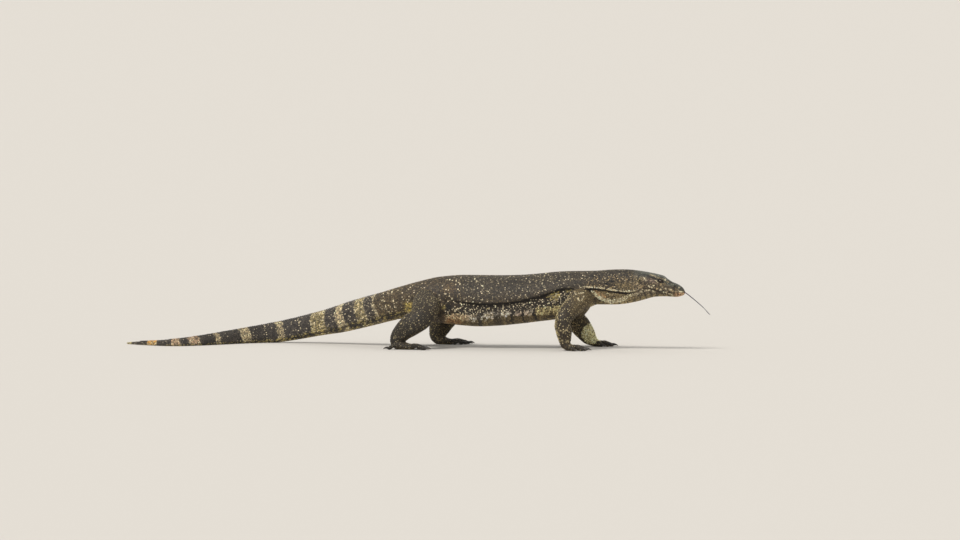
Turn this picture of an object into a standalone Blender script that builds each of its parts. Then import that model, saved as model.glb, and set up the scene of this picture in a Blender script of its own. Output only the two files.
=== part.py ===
"""A life-size nile monitor, walking, in metres, with +Z up and +X ahead.

Sizes in the tables are millimetres, measured along the animal from its hip joints,
where x is 0: x is ahead, y to its left, z up from the floor that its feet stand on.
"""

import math

import bmesh
import bpy
import numpy as np
from mathutils import Matrix, Vector

MM = 0.001
GAP = 0.3                 # clearance between touching nodes
TRUNK_SIDES = 26
HEAD_SIDES = 36
TAIL_SIDES = 14
TORSO_PITCH, NECK_PITCH, HEAD_PITCH, TAIL_PITCH = 18, 13, 5.2, 14
SNOUT_START, SNOUT_TIP = 600, (602.5, 605, 606.8, 608, 608.6)
LIMB_SIDES = 12
DIGIT_SIDES = 7
DIGIT_RINGS = 6
CLAW_SIDES = 5
BALL_SEGMENTS, BALL_ROWS = 16, 10

# Where the body is parted, as places along x
HEAD_END = 490.0
NECK_END = 398.0
TORSO_END = -52.0
TAIL_CUTS = (TORSO_END, -200.0, -365.0, -520.0)

# The line of the back, from the tip of the tail to the tip of the snout, as (x, z)
BACK_LINE = (
    (-708, 4.6), (-692, 6.4), (-664, 8.8), (-636, 10.6), (-611, 12.4), (-585, 15.4), (-543, 19.9),
    (-506, 25.2), (-481, 29.2), (-436, 37.2), (-384, 47.2), (-350, 54.6), (-300, 67.4), (-262, 77.6),
    (-196, 98.9), (-131, 117.5), (-80, 133.4), (-17, 151.4), (30, 162.0), (88, 166.5), (170, 166.4),
    (218, 167.8), (265, 171.6), (300, 175.6), (336, 177.8), (395, 179.2), (442, 182.6), (466, 183.0),
    (490, 181.9), (514, 178.7), (538, 174.4), (550, 171.6), (557, 168.7), (562, 165.4), (569, 161.0),
    (578, 156.2), (588, 151.9), (597, 147.4), (602, 144.2), (606, 139.6), (608.6, 134.2),
)
# The line of the belly, chest, throat and chin
BELLY_LINE = (
    (-708, 0.0), (-692, -0.3), (-505, -0.6), (-400, -0.6), (-384, 0.4), (-350, 5.2), (-325, 9.4),
    (-300, 14.2), (-262, 20.8), (-223, 27.0), (-170, 38.6), (-131, 48.2), (-92, 58.0), (-52, 65.5),
    (-17, 66.5), (7, 61.1), (30, 56.0), (54, 53.0), (88, 49.8), (123, 48.2), (170, 50.4), (218, 55.2),
    (265, 61.2), (300, 65.6), (336, 72.5), (366, 84.0), (386, 96.0), (402, 101.5), (442, 101.8),
    (466, 103.8), (490, 108.2), (514, 114.6), (538, 120.8), (562, 122.0), (588, 121.0), (597, 122.4),
    (602, 123.8), (606.5, 126.4), (608.6, 129.4),
)
# Half the width of the body
HALF_WIDTH = (
    (-708, 1.6), (-692, 2.1), (-664, 2.9), (-636, 3.6), (-611, 4.3), (-585, 5.1), (-543, 6.5),
    (-506, 8.2), (-455, 10.6), (-413, 12.6), (-350, 16.2), (-300, 19.0), (-223, 23.6), (-131, 30.0),
    (-65, 36.0), (-17, 42.5), (30, 52.5), (88, 64.0), (123, 67.5), (170, 68.0), (218, 65.0),
    (265, 60.0), (300, 56.0), (336, 51.0), (372, 43.5), (402, 36.0), (442, 30.5), (466, 28.2),
    (490, 27.6), (508, 28.8), (522, 28.0), (538, 24.8), (550, 21.8), (557, 20.0), (569, 16.4),
    (578, 14.2), (588, 12.4), (597, 10.6), (602, 9.2), (606, 6.8), (608.6, 3.0),
)
# The line of the spine seen from above: the walk bends the body and swings the tail
SPINE_PLAN = (
    (-708, -14), (-664, -50), (-630, -72), (-605, -85), (-585, -89), (-562, -83), (-540, -63), (-500, -7),
    (-470, 46), (-436, 94), (-400, 121), (-365, 131), (-330, 127), (-262, 104), (-196, 71), (-131, 40),
    (-65, 13), (0, 1), (60, 4), (130, 8), (218, 6), (300, 2), (400, -1), (490, -4), (560, -8),
    (608.6, -12),
)
# Where the widest place of a section lies, as a share of its height
WIDEST = (
    (-708, 0.45), (-343, 0.36), (-65, 0.42), (123, 0.40), (336, 0.44), (442, 0.50), (514, 0.44),
    (608.6, 0.45),
)
# How square a section is above and below its widest place; 2 is an ellipse
SQUARE_TOP = (
    (-708, 1.9), (-500, 1.7), (-343, 1.75), (-193, 1.95), (-65, 2.1), (123, 2.15), (336, 2.1), (466, 2.15),
    (514, 2.5), (560, 2.8), (588, 2.6), (608.6, 2.2),
)
SQUARE_FOOT = (
    (-708, 2.2), (-430, 2.7), (-193, 2.3), (-17, 2.3), (123, 2.6), (300, 2.4), (442, 2.1), (560, 2.4),
    (608.6, 2.2),
)

# The long fold of skin from the corner of the jaw, over the shoulder, to the groin
FOLD_LINE = (
    (60, 112), (97, 107), (149, 104), (196, 106.5), (232, 111.5), (267, 119), (290, 126), (314, 134),
    (337, 140), (376, 140), (397, 139), (427, 136), (462, 133), (486, 134), (505, 138),
)
FOLD_HEIGHT = (
    (40, 0), (75, 1.2), (130, 3.0), (300, 3.4), (345, 2.4), (390, 3.4), (450, 3.4), (486, 2.0), (506, 0),
)
FOLD_REACH = 17.0         # how far the fold's swelling spreads up the side
CREASE = 4.0              # width of the crease under it
CREASE_DROP = 2.1         # how far the skin drops over the crease, as a share of the swelling
UNDER_DROP = 1.1          # how deep the side lies under it
CREASE_TURN = 0.2         # the most that the crease takes of a section's turn

# Swellings of the head, as (x, across, z, reach along x, reach along z, height)
HEAD_SWELLINGS = (
    (517, 27, 152, 15, 13, 2.2),      # jaw muscle
    (503, 24, 170, 16, 7, 1.2),       # muscle behind the crown
    (556, 18, 158.4, 8.5, 7.0, 1.9),  # eyelids over the eyeball
    (551, 17, 166.5, 11, 3.0, 2.2),   # brow
    (534, 23, 161, 11, 3.2, -1.5),    # hollow behind the eye
    (572, 14, 152, 8, 5, -1.0),       # hollow between eye and nostril
    (588, 9.5, 147, 6.5, 4.5, 1.2),   # nostril
)
SWELLING_REACH = 16.0     # across the head
EYE_PLACE = (556.0, 158.4)
EYE_SINK = 6.4            # depth of the eyeball's centre below the lids
EYE_RADIUS = 6.0
LID_OPENING = (5.1, 2.9, 4.2)  # half length, half height and depth of the eye's opening
NOSTRIL_PLACE = (588.0, 146.6)
NOSTRIL_SIZE = (2.3, 1.5, 3.2)
EAR_PLACE = (508.0, 156.5)
EAR_SIZE = (3.0, 5.4, 4.0)

# The closed mouth, from its corner to the tip of the snout, as (x, z)
MOUTH_LINE = (
    (523, 145.6), (530, 143.2), (540, 139.8), (551, 136.4), (565, 133.6), (590, 131.8), (615, 131.6),
)
JAW_HINGE_FOOT = (507.0, 96.0)   # where the jaw's parting leaves the throat, below the skin
JAW_SPACE = (640.0, 80.0, 60.0)  # how far ahead, down and across the space of the jaw reaches
JAW_SPACE_BACK = 20.0
LIP_HEIGHT = 1.0
LIP_REACH = 2.6

# The tongue, out of the tip of the mouth and drooping, as (ahead of the lips, z), then its fork
TONGUE_ROOT_X = 601.0
TONGUE_LINE = ((0, 131.9), (8, 131.3), (22, 121.6), (38, 109.0), (52, 97.0))
TONGUE_HALF = ((0, 2.1), (10, 2.0), (30, 1.6), (52, 1.3))
TONGUE_FLATNESS = 0.62    # its height as a share of its width
TONGUE_DRIFT = 0.09       # how far it turns to the right, for each unit ahead
TONGUE_ROOM = 0.45        # clearance of the lips round it
CHANNEL_START = 0.9       # the channel's first stop, just behind the tongue's root at 1
TINE_LENGTH = 26.0
TINE_SPREAD = 9.0         # degrees each side
TINE_DROOP = 46.0         # degrees below level
TINE_OVERLAP = 3.0        # how far back in the tongue a tine starts
# Half the width along a tine, as (share of its length, half width)
TINE_HALF = ((0, 0.8), (0.4, 0.85), (0.75, 0.65), (1, 0.35))

# A limb is a row of (x, y, z, half thickness along the bend, half thickness across it).
# The rows run from inside the body past the elbow or knee and the wrist or ankle into the palm.
ARM_NEAR = (
    (374, -14, 122, 25, 20), (369, -44, 117, 25, 21), (360, -78, 100, 22, 20), (348, -107, 81, 19, 18),
    (344, -118, 66, 18, 16.5), (346, -119, 48, 17.8, 15.0), (348, -117, 29, 15.2, 13.0),
    (350, -115, 15, 12.3, 12.5), (358, -115, 8.2, 9.0, 13.5), (370, -115, 5.6, 6.6, 13.5),
)
ARM_FAR = (
    (366, 14, 124, 25, 20), (359, 44, 116, 25, 21), (345, 74, 99, 23, 20), (332, 94, 84, 21, 19),
    (325, 103, 69, 21, 18.5), (334, 107, 53, 23, 17.5), (348, 105, 36, 22, 15.5), (362, 102, 19, 17.5, 14),
    (375, 101, 9.0, 9.8, 14), (388, 101, 5.6, 6.6, 14),
)
LEG_NEAR = (
    (8, -8, 112, 33, 26), (9, -38, 105, 32, 27), (12, -74, 94, 30, 26), (14, -102, 82, 28, 24),
    (8, -118, 70, 27, 21.5), (-8, -126, 57.5, 26.5, 19.5), (-28, -128, 42, 22.8, 17),
    (-42, -128, 24.5, 18.5, 14.5), (-39.5, -130, 11.2, 12.2, 14.5), (-20, -134, 7.2, 8.2, 15),
    (-5, -138, 5.6, 6.6, 14.5),
)
LEG_FAR = (
    (12, 8, 112, 33, 26), (15, 38, 106, 32, 27), (22, 74, 96, 30, 26), (26, 100, 83, 28, 24),
    (21, 114, 68, 27, 21.5), (9, 121, 50, 25.5, 19), (0, 124, 32, 22, 16.5), (-3, 125, 18, 16.5, 14.5),
    (7, 126, 10.5, 11.5, 14.5), (19, 127, 7.2, 8.2, 15), (31, 129, 5.6, 6.6, 14.5),
)
ARM_JOINTS = (4.5, 7.0)   # rows of the elbow and wrist
LEG_JOINTS = (4.5, 7.0)   # rows of the knee and ankle
LIMB_STEPS = 2            # rings for each row of a limb
JOINT_REACH = 36.0        # size of the blocks that part a limb at its joints
JOINT_SHIFT = 1.7         # how far past its ring a joint's face lies
TORSO_CLEARANCE = 0.36    # of the limbs round the torso
LIMB_SOLVER = "MANIFOLD"  # the exact solver loses a limb whose rings meet inside a sharp bend

FLOOR_BOX = ((-900, -400, -60), (900, 400, 0))   # what the soles are cut flat by

# Digits from the inner to the outer: (length, degrees turned outwards, root back from palm's end, across)
HAND_DIGITS = ((21, -42, 8, -8.8), (27, -19, 3, -5.6), (30, 2, 1, 0), (28, 23, 2, 5.6), (21, 54, 8, 8.8))
FOOT_DIGITS = ((22, -34, 8, -9), (30, -16, 3, -5.6), (37, 0, 1, -0.8), (44, 15, 2, 5.2), (28, 82, 28, 8.5))
NEAR_FOOT_DIGITS = FOOT_DIGITS[:4] + ((30, 128, 29, 7.5),)
# A digit as (share of its length, height, half thickness)
DIGIT_ARCH = (
    (0.0, 6.0, 6.2), (0.25, 8.8, 4.9), (0.5, 8.6, 4.1), (0.7, 6.0, 4.3), (0.87, 3.6, 4.3), (1.0, 3.2, 3.5),
)
DIGIT_WIDTH = 0.94        # of the digit's thickness
CLAW_LENGTH = 12.5
CLAW_BED = 0.6            # how much of the toe's end gives way to the claw
CLAW_LINE = ((-0.1, 4.2, 2.9), (0.25, 5.0, 2.5), (0.6, 4.5, 1.75), (0.85, 3.1, 1.0), (1.0, 1.7, 0.5))
CLAW_WIDTH = 0.66

# The toothed crest along the top of the tail
CREST_FROM, CREST_TO = -96.0, -655.0
CREST_PITCH = 10.0
CREST_HEIGHT = 2.4
CREST_SINK = 1.6
CREST_MARGIN = 7.5        # bare stretch at each end of a length of the tail
SCUTE_LENGTH = 6.2
SCUTE_WIDTH = 1.6
SCUTE_TOP = 0.25          # size of its top as a share of its foot
SCUTE_LEAN = 0.9          # how far back its top leans, as a share of its height
SMALLEST_SCUTE = 0.45     # at the tip of the tail, as a share of the largest
FULL_TAIL = 9.0           # half width of the tail from which the scutes are full size
SCUTE_CHANCE = 0.12       # how much their heights differ

COLOURS = {
    "skin": (0.062, 0.052, 0.040), "head_skin": (0.085, 0.075, 0.048), "throat": (0.26, 0.21, 0.10),
    "tail_skin": (0.070, 0.060, 0.048), "eye": (0.012, 0.008, 0.006), "claw": (0.020, 0.017, 0.015),
    "tongue": (0.028, 0.030, 0.055),
}
ROUGHNESS = {"eye": 0.08, "claw": 0.35, "tongue": 0.4}


def smooth(points):
    """A smooth function through the points that never swings past them."""
    xs, ys = np.array(points, float).T
    run = np.diff(xs)
    rise = np.diff(ys) / run
    slope = np.concatenate([rise[:1], np.zeros(len(xs) - 2), rise[-1:]])
    same_way = rise[:-1] * rise[1:] > 0
    both = np.where(same_way, rise[:-1] + rise[1:], 1.0)
    slope[1:-1] = np.where(same_way, 2 * rise[:-1] * rise[1:] / both, 0.0)

    def at(x):
        x = np.clip(x, xs[0], xs[-1])
        i = np.clip(np.searchsorted(xs, x, side="right") - 1, 0, len(run) - 1)
        t = (x - xs[i]) / run[i]
        return (
            (1 + 2 * t) * (1 - t) ** 2 * ys[i] + t * (1 - t) ** 2 * run[i] * slope[i]
            + t * t * (3 - 2 * t) * ys[i + 1] + t * t * (t - 1) * run[i] * slope[i + 1]
        )

    return at


back, belly, half_width = smooth(BACK_LINE), smooth(BELLY_LINE), smooth(HALF_WIDTH)
plan, widest = smooth(SPINE_PLAN), smooth(WIDEST)
square_top, square_foot = smooth(SQUARE_TOP), smooth(SQUARE_FOOT)
fold_line, fold_height = smooth(FOLD_LINE), smooth(FOLD_HEIGHT)
mouth_line = smooth(MOUTH_LINE)


def spine_frame(x):
    """The point of the spine's line on the floor at x, and the direction to the animal's left."""
    step = 1.0
    along = Vector((2 * step, float(plan(x + step) - plan(x - step)), 0)).normalized()
    return Vector((x, float(plan(x)), 0)), Vector((-along.y, along.x, 0))


def section_sizes(x):
    """Top, bottom, height of the widest place, and half width of the section at x."""
    top, bottom = float(back(x)), float(belly(x))
    return top, bottom, bottom + float(widest(x)) * (top - bottom), float(half_width(x))


def plain_section(x, turn):
    """(across, z) on the plain section at x; turn is 0 at the back and pi at the belly."""
    top, bottom, middle, wide = section_sizes(x)
    power = float(square_top(x) if turn < math.pi / 2 else square_foot(x))
    rise = top - middle if turn < math.pi / 2 else middle - bottom
    up = math.copysign(abs(math.cos(turn)) ** (2 / power), math.cos(turn))
    return wide * abs(math.sin(turn)) ** (2 / power), middle + rise * up


def fold_turn(x):
    """The turn at which the section at x meets the long fold of skin."""
    top, bottom, middle, _ = section_sizes(x)
    z = float(fold_line(x))
    if z > middle:
        return math.acos(min(1.0, (z - middle) / (top - middle)) ** (float(square_top(x)) / 2))
    return math.pi - math.acos(min(1.0, (middle - z) / (middle - bottom)) ** (float(square_foot(x)) / 2))


def fold_swell(x, turn):
    """How far the long fold lifts or sinks the surface."""
    height = float(fold_height(x))
    if height <= 0:
        return 0.0
    _, _, _, wide = section_sizes(x)
    past = (turn - fold_turn(x)) * wide
    if past <= 0:
        return height * math.exp(-((past / FOLD_REACH) ** 2))
    if past < CREASE:
        return height * (1 - CREASE_DROP * math.sin(past / CREASE * math.pi / 2))
    return -UNDER_DROP * height * math.exp(-(((past - CREASE) / FOLD_REACH) ** 2))


def head_swell(x, across, z):
    """How far the muscles, lids, brow and lips lift the surface of the head."""
    if x < HEAD_END:
        return 0.0
    swell = 0.0
    for at_x, at_across, at_z, reach_x, reach_z, height in HEAD_SWELLINGS:
        beside = (across - at_across) / SWELLING_REACH
        off = ((x - at_x) / reach_x) ** 2 + ((z - at_z) / reach_z) ** 2 + beside**2
        swell += height * math.exp(-off)
    if x > MOUTH_LINE[0][0]:
        swell += LIP_HEIGHT * math.exp(-(((z - float(mouth_line(x))) / LIP_REACH) ** 2))
    return swell


def body_point(x, turn):
    """A point of the skin in millimetres; turn runs from 0 at the back round the left side to 2 pi."""
    side = 1.0 if turn <= math.pi else -1.0
    half_turn = turn if turn <= math.pi else 2 * math.pi - turn
    across, z = plain_section(x, half_turn)
    _, _, middle, _ = section_sizes(x)
    out = Vector((across, z - middle))
    reach = out.length
    swell = fold_swell(x, half_turn) + head_swell(x, across, z)
    if reach > 0:
        out *= (reach + swell) / reach
    origin, left = spine_frame(x)
    return origin + left * (side * out.x) + Vector((0, 0, max(middle + out.y, 0.0)))


def trunk_turns(x, sides):
    """Turns for one ring, with rows of vertices on the lip and in the crease of the long fold."""
    half = sides // 2
    fold = fold_turn(min(max(x, FOLD_LINE[0][0]), FOLD_LINE[-1][0]))
    _, _, _, wide = section_sizes(x)
    crease = min(CREASE / wide, CREASE_TURN)
    above = round(half / 2)
    upper = [fold * i / above for i in range(above + 1)]
    below = half - above - 1
    lower = [fold + crease + (math.pi - fold - crease) * i / below for i in range(below + 1)]
    turns = upper + lower
    return turns + [2 * math.pi - turn for turn in reversed(turns[1:-1])]


def even_turns(_, sides):
    return [2 * math.pi * i / sides for i in range(sides)]


def places(start, end, pitch):
    """Places from start to end, both in, about pitch apart along the bent spine."""
    fine = np.linspace(start, end, 400)
    steps = np.hypot(np.diff(fine), np.diff(plan(fine)))
    along = np.concatenate([[0], np.cumsum(steps)])
    count = max(2, round(along[-1] / pitch) + 1)
    return np.interp(np.linspace(0, along[-1], count), along, fine)


def material_of(slot):
    material = bpy.data.materials.get(slot)
    if material is None:
        material = bpy.data.materials.new(slot)
        material.use_nodes = True
        shader = material.node_tree.nodes["Principled BSDF"]
        shader.inputs["Base Color"].default_value = (*COLOURS[slot], 1)
        shader.inputs["Roughness"].default_value = ROUGHNESS.get(slot, 0.6)
        shader.inputs["Metallic"].default_value = 0.0
    return material


def mesh_object(name, shape, slot, collection):
    """Turns a bmesh in millimetres into an object of the collection, in metres."""
    bmesh.ops.recalc_face_normals(shape, faces=shape.faces)
    bmesh.ops.scale(shape, vec=(MM, MM, MM), verts=shape.verts)
    mesh = bpy.data.meshes.new(name)
    shape.to_mesh(mesh)
    shape.free()
    mesh.materials.append(material_of(slot))
    mesh.shade_smooth()
    made = bpy.data.objects.new(name, mesh)
    collection.objects.link(made)
    return made


def loft(name, rings, slot, collection):
    """A closed skin over rings of equally many points, with flat ends."""
    shape = bmesh.new()
    rows = [[shape.verts.new(point) for point in ring] for ring in rings]
    for first, second in zip(rows, rows[1:]):
        for i in range(len(first)):
            j = (i + 1) % len(first)
            shape.faces.new((first[i], first[j], second[j], second[i]))
    shape.faces.new(rows[0])
    shape.faces.new(rows[-1])
    bmesh.ops.triangulate(shape, faces=shape.faces, quad_method="FIXED")
    return mesh_object(name, shape, slot, collection)


def body_loft(name, xs, sides, turns, slot, collection):
    rings = [[body_point(x, turn) for turn in turns(x, sides)] for x in xs]
    return loft(name, rings, slot, collection)


def grown(obj, distance):
    """The object with its surface moved outwards."""
    normals = [vert.normal.copy() for vert in obj.data.vertices]
    for vert, normal in zip(obj.data.vertices, normals):
        vert.co += normal * (distance * MM)
    return obj


def baked(obj):
    """Replaces the object's mesh by its evaluated one and clears its modifiers."""
    bpy.context.view_layer.update()
    graph = bpy.context.evaluated_depsgraph_get()
    mesh = bpy.data.meshes.new_from_object(obj.evaluated_get(graph))
    obj.modifiers.clear()
    obj.data = mesh
    keep_largest(mesh)
    return obj


def keep_largest(mesh):
    """Leaves only the closed surface that holds the most."""
    shape = bmesh.new()
    shape.from_mesh(mesh)
    bmesh.ops.triangulate(shape, faces=shape.faces)
    shape.faces.ensure_lookup_table()
    left, groups = set(shape.faces), []
    while left:
        seed = left.pop()
        group, edge_of = {seed}, [seed]
        while edge_of:
            for edge in edge_of.pop().edges:
                for face in edge.link_faces:
                    if face in left:
                        left.discard(face)
                        group.add(face)
                        edge_of.append(face)
        groups.append(group)
    volumes = [
        sum(f.verts[0].co.dot(f.verts[1].co.cross(f.verts[2].co)) for f in group) for group in groups
    ]
    largest = groups[volumes.index(max(volumes))]
    bmesh.ops.delete(shape, geom=[f for f in shape.faces if f not in largest], context="FACES")
    shape.to_mesh(mesh)
    shape.free()


def boolean(obj, others, operation, solver="EXACT"):
    """One Boolean of the other objects on obj, applied; the others are removed."""
    group = bpy.data.collections.new("operands")
    for other in others:
        group.objects.link(other)
    modifier = obj.modifiers.new(operation.lower(), "BOOLEAN")
    modifier.operation = operation
    modifier.operand_type = "COLLECTION"
    modifier.collection = group
    modifier.solver = solver
    baked(obj)
    for other in others:
        bpy.data.objects.remove(other)
    bpy.data.collections.remove(group)
    return obj


def box(name, low, high, collection):
    shape = bmesh.new()
    bmesh.ops.create_cube(shape, size=1.0)
    size = Vector(high) - Vector(low)
    bmesh.ops.scale(shape, vec=size, verts=shape.verts)
    bmesh.ops.translate(shape, vec=(Vector(high) + Vector(low)) / 2, verts=shape.verts)
    return mesh_object(name, shape, "skin", collection)


def ellipsoid(name, centre, radii, turn, slot, collection):
    """An ellipsoid whose axes are the columns of turn."""
    shape = bmesh.new()
    bmesh.ops.create_uvsphere(shape, u_segments=BALL_SEGMENTS, v_segments=BALL_ROWS, radius=1.0)
    place = Matrix.Translation(centre) @ turn.to_4x4() @ Matrix.Diagonal((*radii, 1))
    bmesh.ops.transform(shape, matrix=place, verts=shape.verts)
    return mesh_object(name, shape, slot, collection)


def prism(name, outline, half_depth, collection):
    """An outline in x and z, drawn out to both sides across the body."""
    shape = bmesh.new()
    face = shape.faces.new([shape.verts.new((x, -half_depth, z)) for x, z in outline])
    drawn = bmesh.ops.extrude_face_region(shape, geom=[face])
    moved = [v for v in drawn["geom"] if isinstance(v, bmesh.types.BMVert)]
    bmesh.ops.translate(shape, vec=(0, 2 * half_depth, 0), verts=moved)
    return mesh_object(name, shape, "skin", collection)


def skin_place(x, z, side):
    """The point of the head's side at x and z, and a turn with its outward normal as third axis."""
    low, high = 0.0, math.pi
    for _ in range(40):
        middle = (low + high) / 2
        if body_point(x, middle).z > z:
            low = middle
        else:
            high = middle
    turn = (low + high) / 2
    turn = turn if side > 0 else 2 * math.pi - turn
    step = 0.02
    point = body_point(x, turn)
    along = (body_point(x + 1, turn) - body_point(x - 1, turn)).normalized()
    down = (body_point(x, turn + step) - body_point(x, turn - step)).normalized() * side
    out = down.cross(along).normalized() * side
    if out.y * side < 0:
        out = -out
    up = out.cross(along).normalized()
    if up.z < 0:
        up = -up
    along = up.cross(out)
    return point, Matrix((along, up, out)).transposed()


def smooth_rows(rows, stops):
    """Rows of numbers drawn through as a smooth curve, at the stops; row k lies at stop k."""
    rows = np.array(rows, float)
    padded = np.vstack([2 * rows[0] - rows[1], rows, 2 * rows[-1] - rows[-2]])
    drawn = []
    for stop in stops:
        k = min(int(stop), len(rows) - 2)
        t = stop - k
        a, b, c, d = padded[k : k + 4]
        drawn.append(
            b + (c - a) * t / 2 + (2 * a - 5 * b + 4 * c - d) * t**2 / 2
            + (3 * b - a - 3 * c + d) * t**3 / 2
        )
    return np.array(drawn)


def tube_rings(rows, stops, sides, last_up=(0, 0, 1)):
    """Rings along smooth rows of (x, y, z, thickness, width), and the direction at each.

    The rings are turned so that the thickness of the last one lies along last_up.
    """
    drawn = smooth_rows(rows, stops)
    nearby = 0.02
    ahead = smooth_rows(rows, np.minimum(np.array(stops) + nearby, len(rows) - 1))
    behind = smooth_rows(rows, np.maximum(np.array(stops) - nearby, 0))
    ways = [Vector(d).normalized() for d in (ahead - behind)[:, :3]]
    up = Vector(last_up)
    rings = []
    for row, way in reversed(list(zip(drawn, ways))):
        up = (up - way * up.dot(way)).normalized()
        across = way.cross(up)
        ring = []
        for i in range(sides):
            turn = 2 * math.pi * (i + 0.5) / sides
            rise, reach = math.cos(turn) * row[3], math.sin(turn) * row[4]
            ring.append(Vector(row[:3]) + up * rise + across * reach)
        rings.append(ring)
    return rings[::-1], ways


def slab(point, way, reach, collection):
    """A block with one face through the point, drawn out from there along way."""
    shape = bmesh.new()
    bmesh.ops.create_cube(shape, size=1.0)
    bmesh.ops.scale(shape, vec=(2 * reach, 2 * reach, reach), verts=shape.verts)
    bmesh.ops.translate(shape, vec=(0, 0, reach / 2), verts=shape.verts)
    place = Matrix.Translation(point) @ way.to_track_quat("Z", "Y").to_matrix().to_4x4()
    bmesh.ops.transform(shape, matrix=place, verts=shape.verts)
    return mesh_object("slab", shape, "skin", collection)


def limb(names, rows, joints, torso_core, digits, side, parts, helpers):
    """The upper limb, lower limb and foot of one limb, with a claw on each digit."""
    stops = [i / LIMB_STEPS for i in range((len(rows) - 1) * LIMB_STEPS + 1)]
    rings, ways = tube_rings(rows, stops, LIMB_SIDES)
    ends = [-1] + [int(joint * LIMB_STEPS) for joint in joints] + [len(rings)]
    lengths = []
    for name, start, end in zip(names, ends, ends[1:]):
        piece = loft(name, rings[max(start - 1, 0) : end + 2], "skin", parts)
        if start > 0:
            face = sum(rings[start], Vector()) / LIMB_SIDES + ways[start] * (JOINT_SHIFT + GAP)
            boolean(piece, [slab(face, -ways[start], JOINT_REACH, helpers)], "DIFFERENCE", LIMB_SOLVER)
        if end < len(rings):
            face = sum(rings[end], Vector()) / LIMB_SIDES + ways[end] * JOINT_SHIFT
            boolean(piece, [slab(face, ways[end], JOINT_REACH, helpers)], "DIFFERENCE", LIMB_SOLVER)
        lengths.append(piece)
    boolean(lengths[0], [torso_core], "DIFFERENCE", LIMB_SOLVER)
    foot = lengths[2]

    palm_end, heading = Vector(rows[-1][:3]), ways[-1]
    heading = Vector((heading.x, heading.y, 0)).normalized()
    outwards = Vector((heading.y, -heading.x, 0)) * (-side)
    toes, tips = [], []
    for length, splay, back_by, across in digits:
        turn = math.radians(splay)
        way = heading * math.cos(turn) + outwards * math.sin(turn)
        root = palm_end - heading * back_by + outwards * across
        toes.append(digit(root, way, length, helpers))
        tips.append((root + way * (length - CLAW_BED), way))
    boolean(foot, toes, "UNION", LIMB_SOLVER)
    boolean(foot, [box("floor", *FLOOR_BOX, helpers)], "DIFFERENCE", LIMB_SOLVER)
    for number, (tip, way) in enumerate(tips, 1):
        claw(f"claw_{names[2]}_{number}", tip, way, parts, helpers)


def digit(root, way, length, collection):
    """One arched toe, cut off square where its claw begins."""
    rows = []
    for share, height, thick in DIGIT_ARCH:
        place = root + way * (length * share)
        rows.append((place.x, place.y, height, thick, thick * DIGIT_WIDTH))
    stops = np.linspace(0, len(rows) - 1, DIGIT_RINGS)
    rings, _ = tube_rings(rows, stops, DIGIT_SIDES)
    made = loft("digit", rings, "skin", collection)
    end = root + way * (length - CLAW_BED)
    return boolean(made, [slab(end, way, CLAW_LENGTH, collection)], "DIFFERENCE")


def claw(name, tip, way, parts, helpers):
    """A hooked claw, its root square to the toe that it grows from."""
    rows = []
    for share, height, thick in CLAW_LINE:
        place = tip + way * (share * CLAW_LENGTH)
        rows.append((place.x, place.y, height, thick, thick * CLAW_WIDTH))
    rings, _ = tube_rings(rows, range(len(rows)), CLAW_SIDES)
    made = loft(name, rings, "claw", parts)
    return boolean(made, [slab(tip + way * GAP, -way, CLAW_LENGTH, helpers)], "DIFFERENCE")


def jaw_outline(grow):
    """The outline in x and z of the space that the lower jaw fills, grown by a clearance."""
    line = [(x, z + grow) for x, z in MOUTH_LINE]
    line[0] = (line[0][0] - grow, line[0][1])
    ahead, low, _ = JAW_SPACE
    hinge_x, hinge_z = JAW_HINGE_FOOT
    line += [(ahead, line[-1][1]), (ahead, low)]
    return line + [(hinge_x - JAW_SPACE_BACK, low), (hinge_x - grow, hinge_z)]


def tongue_rows():
    root, _ = spine_frame(TONGUE_ROOT_X)
    half = smooth(TONGUE_HALF)
    rows = []
    for ahead, z in TONGUE_LINE:
        wide = float(half(ahead))
        rows.append((TONGUE_ROOT_X + ahead, root.y - ahead * TONGUE_DRIFT, z, wide * TONGUE_FLATNESS, wide))
    return rows


def tongue(parts, helpers):
    """The forked tongue, its root between the lips."""
    rows = tongue_rows()
    stops = np.linspace(0, len(rows) - 1, 3 * len(rows) - 2)
    rings, ways = tube_rings(rows, stops, DIGIT_SIDES)
    made = loft("tongue", rings, "tongue", parts)
    end, way = Vector(rows[-1][:3]), Vector((ways[-1].x, ways[-1].y, 0)).normalized()
    droop = math.radians(TINE_DROOP)
    tines = []
    for side in (1, -1):
        level = Matrix.Rotation(math.radians(TINE_SPREAD) * side, 3, "Z") @ way
        line = level * math.cos(droop) - Vector((0, 0, math.sin(droop)))
        start = end - line * TINE_OVERLAP
        tine = []
        for share, wide in TINE_HALF:
            place = start + line * (share * TINE_LENGTH)
            tine.append((*place, TONGUE_FLATNESS * wide, wide))
        tine_rings, _ = tube_rings(tine, np.linspace(0, len(tine) - 1, 2 * len(tine) - 1), CLAW_SIDES)
        tines.append(loft("tine", tine_rings, "tongue", helpers))
    return boolean(made, tines, "UNION")


def tongue_channel(helpers):
    """The space that the tongue needs between the lips."""
    rows = [(x, y, z, thick + TONGUE_ROOM, wide + TONGUE_ROOM) for x, y, z, thick, wide in tongue_rows()]
    before = tuple(2 * a - b for a, b in zip(rows[0], rows[1]))
    stops = np.linspace(0, len(rows) - 1, 3 * len(rows) - 2) + CHANNEL_START
    rings, _ = tube_rings([before] + rows, stops, DIGIT_SIDES)
    return loft("tongue_channel", rings, "tongue", helpers)


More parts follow.
